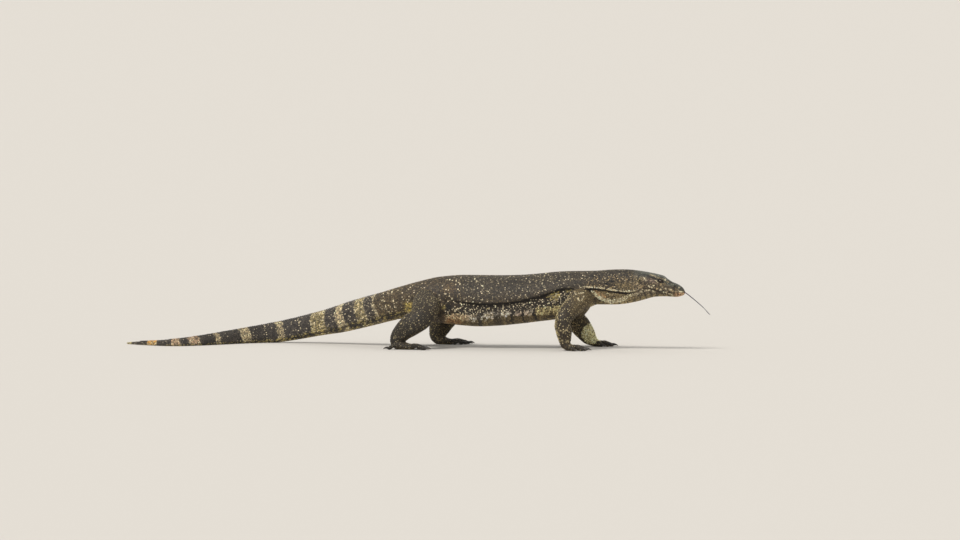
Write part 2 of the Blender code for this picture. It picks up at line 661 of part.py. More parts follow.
def head_and_jaw(parts, helpers):
    """The head with its eyes, ears and nostrils, and the lower jaw parted along the mouth."""
    xs = list(places(HEAD_END + GAP / 2, SNOUT_START, HEAD_PITCH)) + list(SNOUT_TIP)
    head = body_loft("head", xs, HEAD_SIDES, even_turns, "head_skin", parts)
    jaw = body_loft("lower_jaw", xs, HEAD_SIDES, even_turns, "head_skin", parts)
    boolean(jaw, [prism("jaw_space", jaw_outline(0.0), JAW_SPACE[2], helpers)], "INTERSECT")
    boolean(jaw, [tongue_channel(helpers)], "DIFFERENCE")
    boolean(head, [prism("jaw_room", jaw_outline(GAP), JAW_SPACE[2], helpers)], "DIFFERENCE")
    boolean(head, [tongue_channel(helpers)], "DIFFERENCE")
    for side, name in ((1, "left"), (-1, "right")):
        place, turn = skin_place(*EYE_PLACE, side)
        centre = place - turn.col[2] * EYE_SINK
        ellipsoid(f"eye_{name}", centre, (EYE_RADIUS,) * 3, turn, "eye", parts)
        socket = ellipsoid("socket", centre, (EYE_RADIUS + GAP,) * 3, turn, "eye", helpers)
        opening = ellipsoid("opening", place, LID_OPENING, turn, "skin", helpers)
        boolean(head, [socket, opening], "DIFFERENCE")
        for pit_place, size in ((NOSTRIL_PLACE, NOSTRIL_SIZE), (EAR_PLACE, EAR_SIZE)):
            point, turn = skin_place(*pit_place, side)
            boolean(head, [ellipsoid("pit", point, size, turn, "skin", helpers)], "DIFFERENCE")


def crest_scutes(start, end, helpers, seed):
    """Low plates in a row on the keel of the tail, leaning back."""
    draw = np.random.default_rng(seed)
    scutes = []
    low, high = max(end + CREST_MARGIN, CREST_TO), min(start - CREST_MARGIN, CREST_FROM)
    for x in places(high, low, CREST_PITCH):
        origin, left = spine_frame(x)
        along = Vector((left.y, -left.x, 0))
        fullness = min(1.0, float(half_width(x)) / FULL_TAIL)
        share = SMALLEST_SCUTE + (1 - SMALLEST_SCUTE) * fullness
        height = CREST_HEIGHT * share * (1 + SCUTE_CHANCE * draw.standard_normal())
        top = origin + Vector((0, 0, float(back(x))))
        shape = bmesh.new()
        bmesh.ops.create_cone(shape, segments=4, radius1=1, radius2=SCUTE_TOP, depth=1, cap_ends=True)
        bmesh.ops.rotate(shape, matrix=Matrix.Rotation(math.pi / 4, 3, "Z"), verts=shape.verts)
        deep = CREST_SINK + height
        bmesh.ops.scale(shape, vec=(SCUTE_LENGTH, SCUTE_WIDTH * share, deep), verts=shape.verts)
        slope = (float(back(x + 2)) - float(back(x - 2))) / 4
        for vert in shape.verts:
            local = vert.co.copy()
            if local.z > 0:
                local.x -= SCUTE_LEAN * height
            lift = local.z + deep / 2 - CREST_SINK + slope * local.x
            vert.co = top + along * local.x + left * local.y + Vector((0, 0, lift))
        scutes.append(mesh_object("scute", shape, "tail_skin", helpers))
    return scutes


def centre_on_floor(parts):
    """Moves every mesh so that the middle of the whole box, at its foot, is the origin."""
    points = [v.co for obj in parts.objects for v in obj.data.vertices]
    low = Vector(min(p[i] for p in points) for i in range(3))
    high = Vector(max(p[i] for p in points) for i in range(3))
    shift = Matrix.Translation((-(low.x + high.x) / 2, -(low.y + high.y) / 2, -low.z))
    for obj in parts.objects:
        obj.data.transform(shift)


def main():
    for obj in list(bpy.data.objects):
        bpy.data.objects.remove(obj)
    parts = bpy.data.collections.new("nile_monitor")
    helpers = bpy.data.collections.new("cutters")
    helpers.hide_render = True
    for collection in (parts, helpers):
        bpy.context.scene.collection.children.link(collection)

    torso_xs = places(TORSO_END + GAP / 2, NECK_END - GAP / 2, TORSO_PITCH)
    body_loft("torso", torso_xs, TRUNK_SIDES, trunk_turns, "skin", parts)
    neck_xs = places(NECK_END + GAP / 2, HEAD_END - GAP / 2, NECK_PITCH)
    body_loft("neck", neck_xs, TRUNK_SIDES, trunk_turns, "head_skin", parts)
    head_and_jaw(parts, helpers)
    tongue(parts, helpers)

    tail_ends = (*TAIL_CUTS, BACK_LINE[0][0])
    names = ("tail_base", "tail_middle", "tail_rear", "tail_tip")
    for number, (name, start, end) in enumerate(zip(names, tail_ends, tail_ends[1:])):
        last = end if number == 3 else end + GAP / 2
        xs = places(start - GAP / 2, last, TAIL_PITCH)
        tail = body_loft(name, xs, TAIL_SIDES, even_turns, "tail_skin", parts)
        boolean(tail, crest_scutes(start, end, helpers, number), "UNION")

    limbs = (
        (("arm_right", "forearm_right", "hand_right"), ARM_NEAR, ARM_JOINTS, HAND_DIGITS, -1),
        (("arm_left", "forearm_left", "hand_left"), ARM_FAR, ARM_JOINTS, HAND_DIGITS, 1),
        (("thigh_right", "shank_right", "foot_right"), LEG_NEAR, LEG_JOINTS, NEAR_FOOT_DIGITS, -1),
        (("thigh_left", "shank_left", "foot_left"), LEG_FAR, LEG_JOINTS, FOOT_DIGITS, 1),
    )
    for names, rows, joints, digits, side in limbs:
        core = body_loft("torso_core", torso_xs, TRUNK_SIDES, trunk_turns, "skin", helpers)
        limb(names, rows, joints, grown(core, TORSO_CLEARANCE), digits, side, parts, helpers)
    centre_on_floor(parts)


main()
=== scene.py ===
"""A life-size nile monitor, walking: its skin, scales, eyes, claws and tongue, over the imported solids.

Sizes in the tables are millimetres, measured along the animal from its hip joints, where x is 0:
x is ahead, y to its left, z up from the floor that its feet stand on. The frame is in metres.
"""

import math

import bmesh
import bpy
import numpy as np
from mathutils import Matrix, Vector
from mathutils.bvhtree import BVHTree
from mathutils.kdtree import KDTree


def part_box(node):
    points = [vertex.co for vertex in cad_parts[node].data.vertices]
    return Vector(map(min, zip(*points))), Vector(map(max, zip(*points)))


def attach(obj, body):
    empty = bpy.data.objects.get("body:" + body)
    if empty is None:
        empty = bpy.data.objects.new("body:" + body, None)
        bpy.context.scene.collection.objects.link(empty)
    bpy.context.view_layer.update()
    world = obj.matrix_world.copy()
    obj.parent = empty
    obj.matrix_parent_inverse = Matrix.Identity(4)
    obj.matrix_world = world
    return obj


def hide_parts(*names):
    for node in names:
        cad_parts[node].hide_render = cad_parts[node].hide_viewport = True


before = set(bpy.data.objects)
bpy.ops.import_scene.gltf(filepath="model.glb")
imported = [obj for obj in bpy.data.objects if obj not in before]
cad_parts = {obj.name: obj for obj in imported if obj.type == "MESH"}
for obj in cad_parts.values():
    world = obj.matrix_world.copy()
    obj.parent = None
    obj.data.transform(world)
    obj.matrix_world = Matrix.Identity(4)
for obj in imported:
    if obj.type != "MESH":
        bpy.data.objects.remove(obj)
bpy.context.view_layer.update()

MM = 0.001
TURN = 2 * np.pi
COAT = 0.5                # depth of the coat of scales over the skin
VOXEL = 1.8               # size of the skin's faces
SEED = 5219

# The stations that the solids are made from
HEAD_END, NECK_END, TORSO_END = 490.0, 398.0, -52.0
BACK_LINE = (
    (-708, 4.6), (-692, 6.4), (-664, 8.8), (-636, 10.6), (-611, 12.4), (-585, 15.4), (-543, 19.9),
    (-506, 25.2), (-481, 29.2), (-436, 37.2), (-384, 47.2), (-350, 54.6), (-300, 67.4), (-262, 77.6),
    (-196, 98.9), (-131, 117.5), (-80, 133.4), (-17, 151.4), (30, 162.0), (88, 166.5), (170, 166.4),
    (218, 167.8), (265, 171.6), (300, 175.6), (336, 177.8), (395, 179.2), (442, 182.6), (466, 183.0),
    (490, 181.9), (514, 178.7), (538, 174.4), (550, 171.6), (557, 168.7), (562, 165.4), (569, 161.0),
    (578, 156.2), (588, 151.9), (597, 147.4), (602, 144.2), (606, 139.6), (608.6, 134.2),
)
BELLY_LINE = (
    (-708, 0.0), (-692, -0.3), (-505, -0.6), (-400, -0.6), (-384, 0.4), (-350, 5.2), (-325, 9.4),
    (-300, 14.2), (-262, 20.8), (-223, 27.0), (-170, 38.6), (-131, 48.2), (-92, 58.0), (-52, 65.5),
    (-17, 66.5), (7, 61.1), (30, 56.0), (54, 53.0), (88, 49.8), (123, 48.2), (170, 50.4), (218, 55.2),
    (265, 61.2), (300, 65.6), (336, 72.5), (366, 84.0), (386, 96.0), (402, 101.5), (442, 101.8),
    (466, 103.8), (490, 108.2), (514, 114.6), (538, 120.8), (562, 122.0), (588, 121.0), (597, 122.4),
    (602, 123.8), (606.5, 126.4), (608.6, 129.4),
)
HALF_WIDTH = (
    (-708, 1.6), (-692, 2.1), (-664, 2.9), (-636, 3.6), (-611, 4.3), (-585, 5.1), (-543, 6.5),
    (-506, 8.2), (-455, 10.6), (-413, 12.6), (-350, 16.2), (-300, 19.0), (-223, 23.6), (-131, 30.0),
    (-65, 36.0), (-17, 42.5), (30, 52.5), (88, 64.0), (123, 67.5), (170, 68.0), (218, 65.0),
    (265, 60.0), (300, 56.0), (336, 51.0), (372, 43.5), (402, 36.0), (442, 30.5), (466, 28.2),
    (490, 27.6), (508, 28.8), (522, 28.0), (538, 24.8), (550, 21.8), (557, 20.0), (569, 16.4),
    (578, 14.2), (588, 12.4), (597, 10.6), (602, 9.2), (606, 6.8), (608.6, 3.0),
)
SPINE_PLAN = (
    (-708, -14), (-664, -50), (-630, -72), (-605, -85), (-585, -89), (-562, -83), (-540, -63), (-500, -7),
    (-470, 46), (-436, 94), (-400, 121), (-365, 131), (-330, 127), (-262, 104), (-196, 71), (-131, 40),
    (-65, 13), (0, 1), (60, 4), (130, 8), (218, 6), (300, 2), (400, -1), (490, -4), (560, -8),
    (608.6, -12),
)
WIDEST = (
    (-708, 0.45), (-343, 0.36), (-65, 0.42), (123, 0.40), (336, 0.44), (442, 0.50), (514, 0.44),
    (608.6, 0.45),
)
SQUARE_TOP = (
    (-708, 1.9), (-500, 1.7), (-343, 1.75), (-193, 1.95), (-65, 2.1), (123, 2.15), (336, 2.1), (466, 2.15),
    (514, 2.5), (560, 2.8), (588, 2.6), (608.6, 2.2),
)
SQUARE_FOOT = (
    (-708, 2.2), (-430, 2.7), (-193, 2.3), (-17, 2.3), (123, 2.6), (300, 2.4), (442, 2.1), (560, 2.4),
    (608.6, 2.2),
)
FOLD_LINE = (
    (60, 112), (97, 107), (149, 104), (196, 106.5), (232, 111.5), (267, 119), (290, 126), (314, 134),
    (337, 140), (376, 140), (397, 139), (427, 136), (462, 133), (486, 134), (505, 138),
)
FOLD_HEIGHT = (
    (40, 0), (75, 1.2), (130, 3.0), (300, 3.4), (345, 2.4), (390, 3.4), (450, 3.4), (486, 2.0), (506, 0),
)
FOLD_REACH, CREASE_WIDTH = 17.0, 4.0
# How far the fold's crease drops and the skin under it sinks, next to the fold's height
CREASE_DROP, UNDER_DROP = 2.1, 1.1
# Swellings of the head, as (x, across, z, reach ahead, reach up, height), and how far across each reaches
HEAD_SWELLINGS = (
    (517, 27, 152, 15, 13, 2.2), (503, 24, 170, 16, 7, 1.2), (556, 18, 158.4, 8.5, 7.0, 1.9),
    (551, 17, 166.5, 11, 3.0, 2.2), (534, 23, 161, 11, 3.2, -1.5), (572, 14, 152, 8, 5, -1.0),
    (588, 9.5, 147, 6.5, 4.5, 1.2),
)
SWELLING_ACROSS = 16
# The groove between the lips and the rim beside it, as (height, distance from the line, reach)
LIP_GROOVE = ((-1.5, 0, 0.65), (0.35, 1.9, 1.0))
# Folds round the eye, as (depth, distance from its middle, reach), the last two in sizes of the opening
LID_FOLDS = ((0.4, 1.72, 0.16), (-0.3, 2.05, 0.2))
JAWS_FROM = 515
MOUTH_LINE = (
    (523, 145.6), (530, 143.2), (540, 139.8), (551, 136.4), (565, 133.6), (590, 131.8), (615, 131.6),
)
LIP_HEIGHT, LIP_REACH = 1.0, 2.6
EYE_PLACE, EYE_SINK, EYE_RADIUS = (556.0, 158.4), 6.4, 6.0
LID_OPENING = (5.1, 2.9)
NOSTRIL_PLACE, NOSTRIL_SIZE = (588.0, 146.6), (2.3, 1.5)
EAR_PLACE, EAR_SIZE = (508.0, 156.5), (2.7, 5.0)
# Openings of the head, as (place, half sizes, depth, height of the rim, reach of the finer skin)
OPENINGS = (
    (EYE_PLACE, LID_OPENING, 4.6, 0.65, 2.2), (NOSTRIL_PLACE, NOSTRIL_SIZE, 2.4, 0.35, 2.2),
    (EAR_PLACE, EAR_SIZE, 2.2, 0.35, 1.5),
)
TONGUE_ROOT_X = 601.0
TONGUE_LINE = ((0, 131.9), (8, 131.3), (22, 121.6), (38, 109.0), (52, 97.0))
TONGUE_HALF = ((0, 2.1), (10, 2.0), (30, 1.6), (52, 1.3))
TONGUE_FLATNESS, TONGUE_VEER = 0.62, 0.09
TINE_LENGTH, TINE_SPREAD, TINE_DROOP, TINE_TIP = 26.0, 9.0, 46.0, 0.35
# A tine's half width, as (share of the length, half width), and how deep its root lies in the tongue
TINE_HALF, TINE_ROOT = ((0, 0.8), (0.4, 0.85), (0.75, 0.65), (1, TINE_TIP)), 3

# A limb is a row of (x, y, z, half thickness along the bend, half thickness across it)
ARM_NEAR = (
    (374, -14, 122, 25, 20), (369, -44, 117, 25, 21), (360, -78, 100, 22, 20), (348, -107, 81, 19, 18),
    (344, -118, 66, 18, 16.5), (346, -119, 48, 17.8, 15.0), (348, -117, 29, 15.2, 13.0),
    (350, -115, 15, 12.3, 12.5), (358, -115, 8.2, 9.0, 13.5), (370, -115, 5.6, 6.6, 13.5),
)
ARM_FAR = (
    (366, 14, 124, 25, 20), (359, 44, 116, 25, 21), (345, 74, 99, 23, 20), (332, 94, 84, 21, 19),
    (325, 103, 69, 21, 18.5), (334, 107, 53, 23, 17.5), (348, 105, 36, 22, 15.5), (362, 102, 19, 17.5, 14),
    (375, 101, 9.0, 9.8, 14), (388, 101, 5.6, 6.6, 14),
)
LEG_NEAR = (
    (8, -8, 112, 33, 26), (9, -38, 105, 32, 27), (12, -74, 94, 30, 26), (14, -102, 82, 28, 24),
    (8, -118, 70, 27, 21.5), (-8, -126, 57.5, 26.5, 19.5), (-28, -128, 42, 22.8, 17),
    (-42, -128, 24.5, 18.5, 14.5), (-39.5, -130, 11.2, 12.2, 14.5), (-20, -134, 7.2, 8.2, 15),
    (-5, -138, 5.6, 6.6, 14.5),
)
LEG_FAR = (
    (12, 8, 112, 33, 26), (15, 38, 106, 32, 27), (22, 74, 96, 30, 26), (26, 100, 83, 28, 24),
    (21, 114, 68, 27, 21.5), (9, 121, 50, 25.5, 19), (0, 124, 32, 22, 16.5), (-3, 125, 18, 16.5, 14.5),
    (7, 126, 10.5, 11.5, 14.5), (19, 127, 7.2, 8.2, 15), (31, 129, 5.6, 6.6, 14.5),
)
# Digits from the inner to the outer, as (length, degrees outwards, root back from the palm's end, across)
HAND_DIGITS = ((21, -42, 8, -8.8), (27, -19, 3, -5.6), (30, 2, 1, 0), (28, 23, 2, 5.6), (21, 54, 8, 8.8))
FOOT_DIGITS = ((22, -34, 8, -9), (30, -16, 3, -5.6), (37, 0, 1, -0.8), (44, 15, 2, 5.2), (28, 82, 28, 8.5))
NEAR_FOOT_DIGITS = FOOT_DIGITS[:4] + ((30, 128, 29, 7.5),)
# A digit and a claw, as (share of the length, height above the floor, half thickness)
DIGIT_ARCH = (
    (0.0, 6.0, 6.2), (0.25, 8.8, 4.9), (0.5, 8.6, 4.1), (0.7, 6.0, 4.3), (0.87, 3.6, 4.3), (1.0, 3.2, 3.5),
)
DIGIT_WIDTH = 0.94
CLAW_LENGTH, CLAW_WIDTH, CLAW_BED = 12.5, 0.66, 0.6
CLAW_LINE = (
    (-0.25, 3.9, 2.7), (-0.1, 4.2, 2.9), (0.25, 5.0, 2.5), (0.6, 4.5, 1.75), (0.85, 3.1, 1.0),
    (1.0, 1.7, 0.3),
)

# Name of the limb, its rows, its digits, its side and the rows of its bends
LIMBS = (
    ("arm_right", ARM_NEAR, HAND_DIGITS, -1, (4.5, 7.2)),
    ("arm_left", ARM_FAR, HAND_DIGITS, 1, (4.5, 7.4)),
    ("leg_right", LEG_NEAR, NEAR_FOOT_DIGITS, -1, (4.4, 7.4)),
    ("leg_left", LEG_FAR, FOOT_DIGITS, 1, (4.4, 7.4)),
)

# The toothed crest of the tail
CREST_FROM, CREST_TO, CREST_PITCH, CREST_HEIGHT = -90.0, -668.0, 4.7, 2.5
# Spacing of the rings of limbs and digits, and the corners of each
LIMB_GRID, DIGIT_GRID = (1.5, 72), (1.2, 28)
# Spacing of the scales of limbs and digits, along and around
LIMB_SCALES, DIGIT_SCALES = (2.35, 2.45), (2.2, 2.1)
# Thinnest half size that the skin's faces can follow, where the tail gets thinner, and its rise there
THIN_HALF, THIN_FROM, THIN_RISE = 1.9, -640.0, 1.5


def smooth(points):
    """A smooth function through the points that never swings past them."""
    xs, ys = np.array(points, float).T
    run = np.diff(xs)
    rise = np.diff(ys) / run
    slope = np.concatenate([rise[:1], np.zeros(len(xs) - 2), rise[-1:]])
    same_way = rise[:-1] * rise[1:] > 0
    both = np.where(same_way, rise[:-1] + rise[1:], 1.0)
    slope[1:-1] = np.where(same_way, 2 * rise[:-1] * rise[1:] / both, 0.0)

    def at(x):
        x = np.clip(x, xs[0], xs[-1])
        i = np.clip(np.searchsorted(xs, x, side="right") - 1, 0, len(run) - 1)
        t = (x - xs[i]) / run[i]
        return (
            (1 + 2 * t) * (1 - t) ** 2 * ys[i] + t * (1 - t) ** 2 * run[i] * slope[i]
            + t * t * (3 - 2 * t) * ys[i + 1] + t * t * (t - 1) * run[i] * slope[i + 1]
        )

    return at


back, belly, half_width = smooth(BACK_LINE), smooth(BELLY_LINE), smooth(HALF_WIDTH)
plan, widest = smooth(SPINE_PLAN), smooth(WIDEST)
square_top, square_foot = smooth(SQUARE_TOP), smooth(SQUARE_FOOT)
fold_line, fold_height = smooth(FOLD_LINE), smooth(FOLD_HEIGHT)
mouth_line = smooth(MOUTH_LINE)


def smoothstep(low, high, value):
    t = np.clip((np.asarray(value, float) - low) / (high - low), 0, 1)
    return t * t * (3 - 2 * t)


def between(value, rise, full, fade, end):
    """1 from full to fade, easing to 0 at rise and at end."""
    return smoothstep(rise, full, value) * smoothstep(end, fade, value)


def bump(value, centre, width):
    return np.exp(-(((value - centre) / width) ** 2))


def run_along(line):
    """How far along their line its points lie."""
    return np.concatenate([[0], np.cumsum(np.linalg.norm(np.diff(line, axis=0), axis=1))])


def unit(vectors):
    return vectors / np.maximum(np.linalg.norm(vectors, axis=-1, keepdims=True), 1e-9)


def ripple(points, length, seed, waves=7):
    """A smooth random field from -1 to 1 whose waves are about length across."""
    draw = np.random.default_rng(seed)
    ways = unit(draw.standard_normal((waves, points.shape[1]))) * (TURN / length)
    ways *= draw.uniform(0.6, 1.5, (waves, 1))
    phases = draw.uniform(0, TURN, waves)
    return np.sin(points @ ways.T + phases).sum(1) / (waves * 0.62)


def section(x):
    """Top, bottom, height of the widest place, and half width of the sections at x."""
    top, bottom = back(x), belly(x)
    return top, bottom, bottom + widest(x) * (top - bottom), half_width(x)


def plain_section(x, turn):
    """(across, z) on the plain section at x; turn is 0 at the back and pi at the belly."""
    top, bottom, middle, wide = section(x)
    upper = turn < np.pi / 2
    power = np.where(upper, square_top(x), square_foot(x))
    rise = np.where(upper, top - middle, middle - bottom)
    c, s = np.cos(turn), np.sin(turn)
    return wide * np.abs(s) ** (2 / power), middle + rise * np.sign(c) * np.abs(c) ** (2 / power)


def fold_swell(x, turn):
    """How far the long fold of skin from jaw to groin lifts or sinks the surface."""
    top, bottom, middle, wide = section(x)
    z = fold_line(x)
    above = z > middle
    share = np.where(above, (z - middle) / (top - middle), (middle - z) / (middle - bottom))
    power = np.where(above, square_top(x), square_foot(x))
    at = np.arccos(np.clip(share, 0, 1) ** (power / 2))
    past = (turn - np.where(above, at, np.pi - at)) * wide
    height = fold_height(x)
    crease = height * (1 - CREASE_DROP * np.sin(np.clip(past / CREASE_WIDTH, 0, 1) * np.pi / 2))
    under = -UNDER_DROP * height * bump(past, CREASE_WIDTH, FOLD_REACH)
    above_it = height * bump(past, 0, FOLD_REACH)
    return np.where(past <= 0, above_it, np.where(past < CREASE_WIDTH, crease, under))


def head_swell(x, across, z):
    """How far the muscles, lids, brow and lips lift the surface of the head."""
    swell = np.zeros(np.shape(x))
    for at_x, at_across, at_z, reach_x, reach_z, height in HEAD_SWELLINGS:
        beside = (across - at_across) / SWELLING_ACROSS
        off = ((x - at_x) / reach_x) ** 2 + ((z - at_z) / reach_z) ** 2 + beside**2
        swell += height * np.exp(-off)
    lips = LIP_HEIGHT * bump(z, mouth_line(x), LIP_REACH)
    swell += np.where(x > MOUTH_LINE[0][0], lips, 0)
    return np.where(x < HEAD_END, 0, swell)


# Creases of loose skin on the side, as (x, z of one end, x, z of the other, depth, half width)
CREASES = (
    (404, 172, 398, 146, 0.9, 2.6), (416, 168, 410, 142, 0.6, 2.4), (392, 130, 386, 104, 1.3, 3.2),
    (402, 128, 400, 104, 1.0, 2.8), (430, 130, 426, 106, 0.8, 2.6), (452, 130, 450, 106, 0.7, 2.6),
    (474, 132, 472, 108, 0.8, 2.6), (497, 150, 494, 118, 1.2, 3.0), (489, 176, 492, 150, 0.7, 2.8),
    (340, 136, 322, 98, 1.2, 3.4), (330, 134, 308, 92, 0.8, 3.0), (318, 128, 296, 84, 0.6, 3.0),
    (58, 122, 44, 84, 1.4, 3.6), (72, 112, 60, 74, 1.0, 3.2), (90, 104, 80, 66, 0.6, 3.0),
    (-30, 122, -38, 84, 1.2, 3.6), (-44, 116, -52, 80, 0.7, 3.2),
)
# Section of a crease, as (height, place across it, reach), each but the height in half widths
CREASE_SECTION = ((-1.35, 0, 0.55), (0.75, 1.1, 1), (0.5, -1.3, 1))
RIB_PITCH, RIB_DEPTH = 17.0, 0.45


def loose_skin(x, side, z, turn):
    """Creases of the neck, shoulder and groin, and the faint ribs of the flank."""
    lift = np.zeros(np.shape(x))
    for x0, z0, x1, z1, depth, width in CREASES:
        along = np.array([x1 - x0, z1 - z0], float)
        length = np.hypot(*along)
        along /= length
        off_x, off_z = x - x0 - side * 2.0, z - z0
        reach = off_x * along[0] + off_z * along[1]
        beside = off_x * along[1] - off_z * along[0] + 1.5 * np.sin(reach / 9.0 + x0)
        profile = sum(high * bump(beside, at * width, far * width) for high, at, far in CREASE_SECTION)
        lift += depth * between(reach, -4, 6, length - 6, length + 4) * profile
    flank = between(x, 40, 90, 300, 345) * bump(turn, 1.5, 0.55)
    return lift + RIB_DEPTH * flank * np.sin((x + 0.25 * z) * TURN / RIB_PITCH)


def body_points(x, turn):
    """Points of the body's surface; turn runs from 0 at the back round the left side to 2 pi."""
    x, turn = np.broadcast_arrays(np.asarray(x, float), np.asarray(turn, float))
    turn = turn % TURN
    side = np.where(turn <= np.pi, 1.0, -1.0)
    half = np.where(turn <= np.pi, turn, TURN - turn)
    across, z = plain_section(x, half)
    middle = section(x)[2]
    reach = np.hypot(across, z - middle)
    swell = fold_swell(x, half) + head_swell(x, across, z) + loose_skin(x, side, z, half)
    share = 1 + swell / np.maximum(reach, 0.5)
    slope = (plan(x + 1) - plan(x - 1)) / 2
    long = np.hypot(1, slope)
    offset = side * across * share
    z = np.maximum(middle + (z - middle) * share, 0)
    return np.stack([x - offset * slope / long, plan(x) + offset / long, z], -1)


def spine_places(start, end, pitch):
    """Stations from start to end, each pitch(x) apart along the bent spine."""
    fine = np.linspace(start, end, 4000)
    steps = np.hypot(np.diff(fine), np.diff(plan(fine))) / pitch((fine[1:] + fine[:-1]) / 2)
    along = np.concatenate([[0], np.cumsum(steps)])
    return np.interp(np.linspace(0, along[-1], max(2, round(along[-1]) + 1)), along, fine)


def girths(stations, sides=181):
    """Turns and distances from the back's middle along half of each section, one row for each station."""
    turns = np.linspace(0, np.pi, sides)
    rings = body_points(stations[:, None], turns[None])
    steps = np.linalg.norm(np.diff(rings, axis=1), axis=2)
    return turns, np.concatenate([np.zeros((len(stations), 1)), np.cumsum(steps, 1)], 1)


def frame_shift():
    """Where the hips' origin lies in the frame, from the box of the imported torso."""
    low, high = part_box("torso")
    stations = np.linspace(TORSO_END, NECK_END, 120)
    points = body_points(stations[:, None], np.linspace(0, TURN, 240)[None]).reshape(-1, 3)
    shift = (low + high) / 2 - Vector((points.min(0) + points.max(0)) / 2) * MM
    return Vector((shift.x, shift.y, 0))


SHIFT = frame_shift()


def to_frame(points):
    return np.asarray(points) * MM + np.array(SHIFT)


def smooth_rows(rows, stops):
    """Rows of numbers drawn through as a smooth curve, at the stops; row k lies at k."""
    rows = np.array(rows, float)
    stops = np.clip(np.asarray(stops, float), 0, len(rows) - 1)
    padded = np.vstack([2 * rows[0] - rows[1], rows, 2 * rows[-1] - rows[-2]])
    k = np.minimum(stops.astype(int), len(rows) - 2)
    t = (stops - k)[:, None]
    a, b, c, d = (padded[k + i] for i in range(4))
    return 0.5 * (2 * b + (c - a) * t + (2 * a - 5 * b + 4 * c - d) * t**2 + (3 * b - a - 3 * c + d) * t**3)


def tube(rows, stops, swell=None):
    """A function of (stop numbers, turns) to points of a tube along the rows, and its directions."""
    stops = np.asarray(stops, float)
    drawn = smooth_rows(rows, stops)
    ways = unit((smooth_rows(rows, stops + 0.02) - smooth_rows(rows, stops - 0.02))[:, :3])
    ups, up = np.zeros((len(stops), 3)), np.array([0.0, 0, 1])
    for i in range(len(stops) - 1, -1, -1):
        up = up - ways[i] * ways[i].dot(up)
        up /= np.linalg.norm(up)
        ups[i] = up
    acrosses = np.cross(ways, ups)

    def at(i, turn):
        thick, wide = drawn[i, 3], drawn[i, 4]
        grow = 1 + (0 if swell is None else swell(stops[i], turn) / ((thick + wide) / 2))
        rise, reach = thick * np.cos(turn) * grow, wide * np.sin(turn) * grow
        return drawn[i, :3] + ups[i] * rise[..., None] + acrosses[i] * reach[..., None]

    return at, drawn, ways


def even_stops(rows, pitch):
    """Stops about pitch apart along the rows."""
    fine = np.linspace(0, len(rows) - 1, 600)
    drawn = smooth_rows(rows, fine)[:, :3]
    along = run_along(drawn)
    places = np.linspace(0, along[-1], max(2, round(along[-1] / pitch) + 1))
    return np.interp(places, along, fine), places


def tube_rings(rows, pitch, sides, swell=None):
    """Rings of points about pitch apart along a tube: the grid, its turns, its places, rows and ways."""
    stops, along = even_stops(rows, pitch)
    at, drawn, ways = tube(rows, stops, swell)
    turn = np.linspace(0, TURN, sides, endpoint=False)[None]
    return at(np.arange(len(stops))[:, None], turn), turn, along, drawn, ways


# Muscles of the limbs, as (row, turn, reach in rows, reach in turn, height)
ARM_MUSCLES = (
    (2.6, 0.0, 1.1, 0.8, 1.6), (2.8, 3.1, 0.9, 0.8, 1.2), (4.5, 3.1, 0.35, 0.7, 1.8),
    (5.2, 0.4, 0.7, 0.8, 1.6), (5.3, 3.4, 0.7, 0.7, 1.2), (5.3, 1.8, 0.6, 0.5, 0.8),
)
LEG_MUSCLES = (
    (2.2, 0.3, 1.2, 0.8, 1.8), (2.6, 3.0, 1.0, 0.8, 1.6), (4.3, 0.1, 0.45, 0.7, 1.6),
    (5.2, 3.1, 0.7, 0.8, 1.8), (5.4, 0.3, 0.8, 0.5, 0.9), (7.6, 3.1, 0.3, 0.7, 1.4),
)
# Creases over a bend, as (rows from its middle, depth), and their half width in rows
BEND_CREASES, BEND_WIDTH = ((-0.52, 0.5), (-0.27, 0.9), (0.0, 1.1), (0.28, 0.8), (0.55, 0.5)), 0.085


def limb_swell(number):
    """A function that tells how the muscles and bends of a limb lift its surface."""
    name, _, _, _, bends = LIMBS[number - 1]
    muscles = ARM_MUSCLES if name.startswith("arm") else LEG_MUSCLES

    def swell(stop, turn):
        stop, turn = np.broadcast_arrays(stop, turn)
        lift = np.zeros(stop.shape)
        for at, way, reach, spread, height in muscles:
            apart = (turn - way + np.pi) % TURN - np.pi
            lift = lift + height * bump(stop, at, reach) * bump(apart, 0, spread)
        for bend in bends:
            for off, depth in BEND_CREASES:
                wave = 0.07 * np.sin(2 * turn + number + 5 * off) + 0.04 * np.sin(5 * turn + 3 * off)
                inner = 0.45 + 0.55 * np.cos(turn) ** 2
                lift = lift - 0.8 * depth * inner * bump(stop, bend + off + wave, BEND_WIDTH)
        return lift

    return swell


def digit_rows(rows, spec, side):
    """Centre line of one digit of a limb: rows of (x, y, z, thickness, width), its root and its way."""
    length, splay, back_by, across = spec
    palm, before = smooth_rows(rows, [len(rows) - 1, len(rows) - 1.02])[:, :3]
    heading = unit((palm - before) * np.array([1, 1, 0]))
    outwards = np.array([heading[1], -heading[0], 0]) * -side
    way = heading * math.cos(math.radians(splay)) + outwards * math.sin(math.radians(splay))
    root = palm - heading * back_by + outwards * across
    line = [
        (*(root + way * (length * share))[:2], z, thick, thick * DIGIT_WIDTH)
        for share, z, thick in DIGIT_ARCH
    ]
    return line, root, way


# Knuckles, as (row of the digit, height)
KNUCKLES = ((1.5, 0.7), (3.2, 0.6))


def digit_swell(stop, turn):
    """Knuckles above and pads below."""
    stop, turn = np.broadcast_arrays(stop, turn)
    lift = np.zeros(stop.shape)
    for at, height in KNUCKLES:
        lift = lift + height * bump(stop, at, 0.4) * bump((turn + np.pi) % TURN - np.pi, 0, 1.0)
    return lift + 0.3 * np.sin(stop * 9) * bump(turn, np.pi, 0.9)


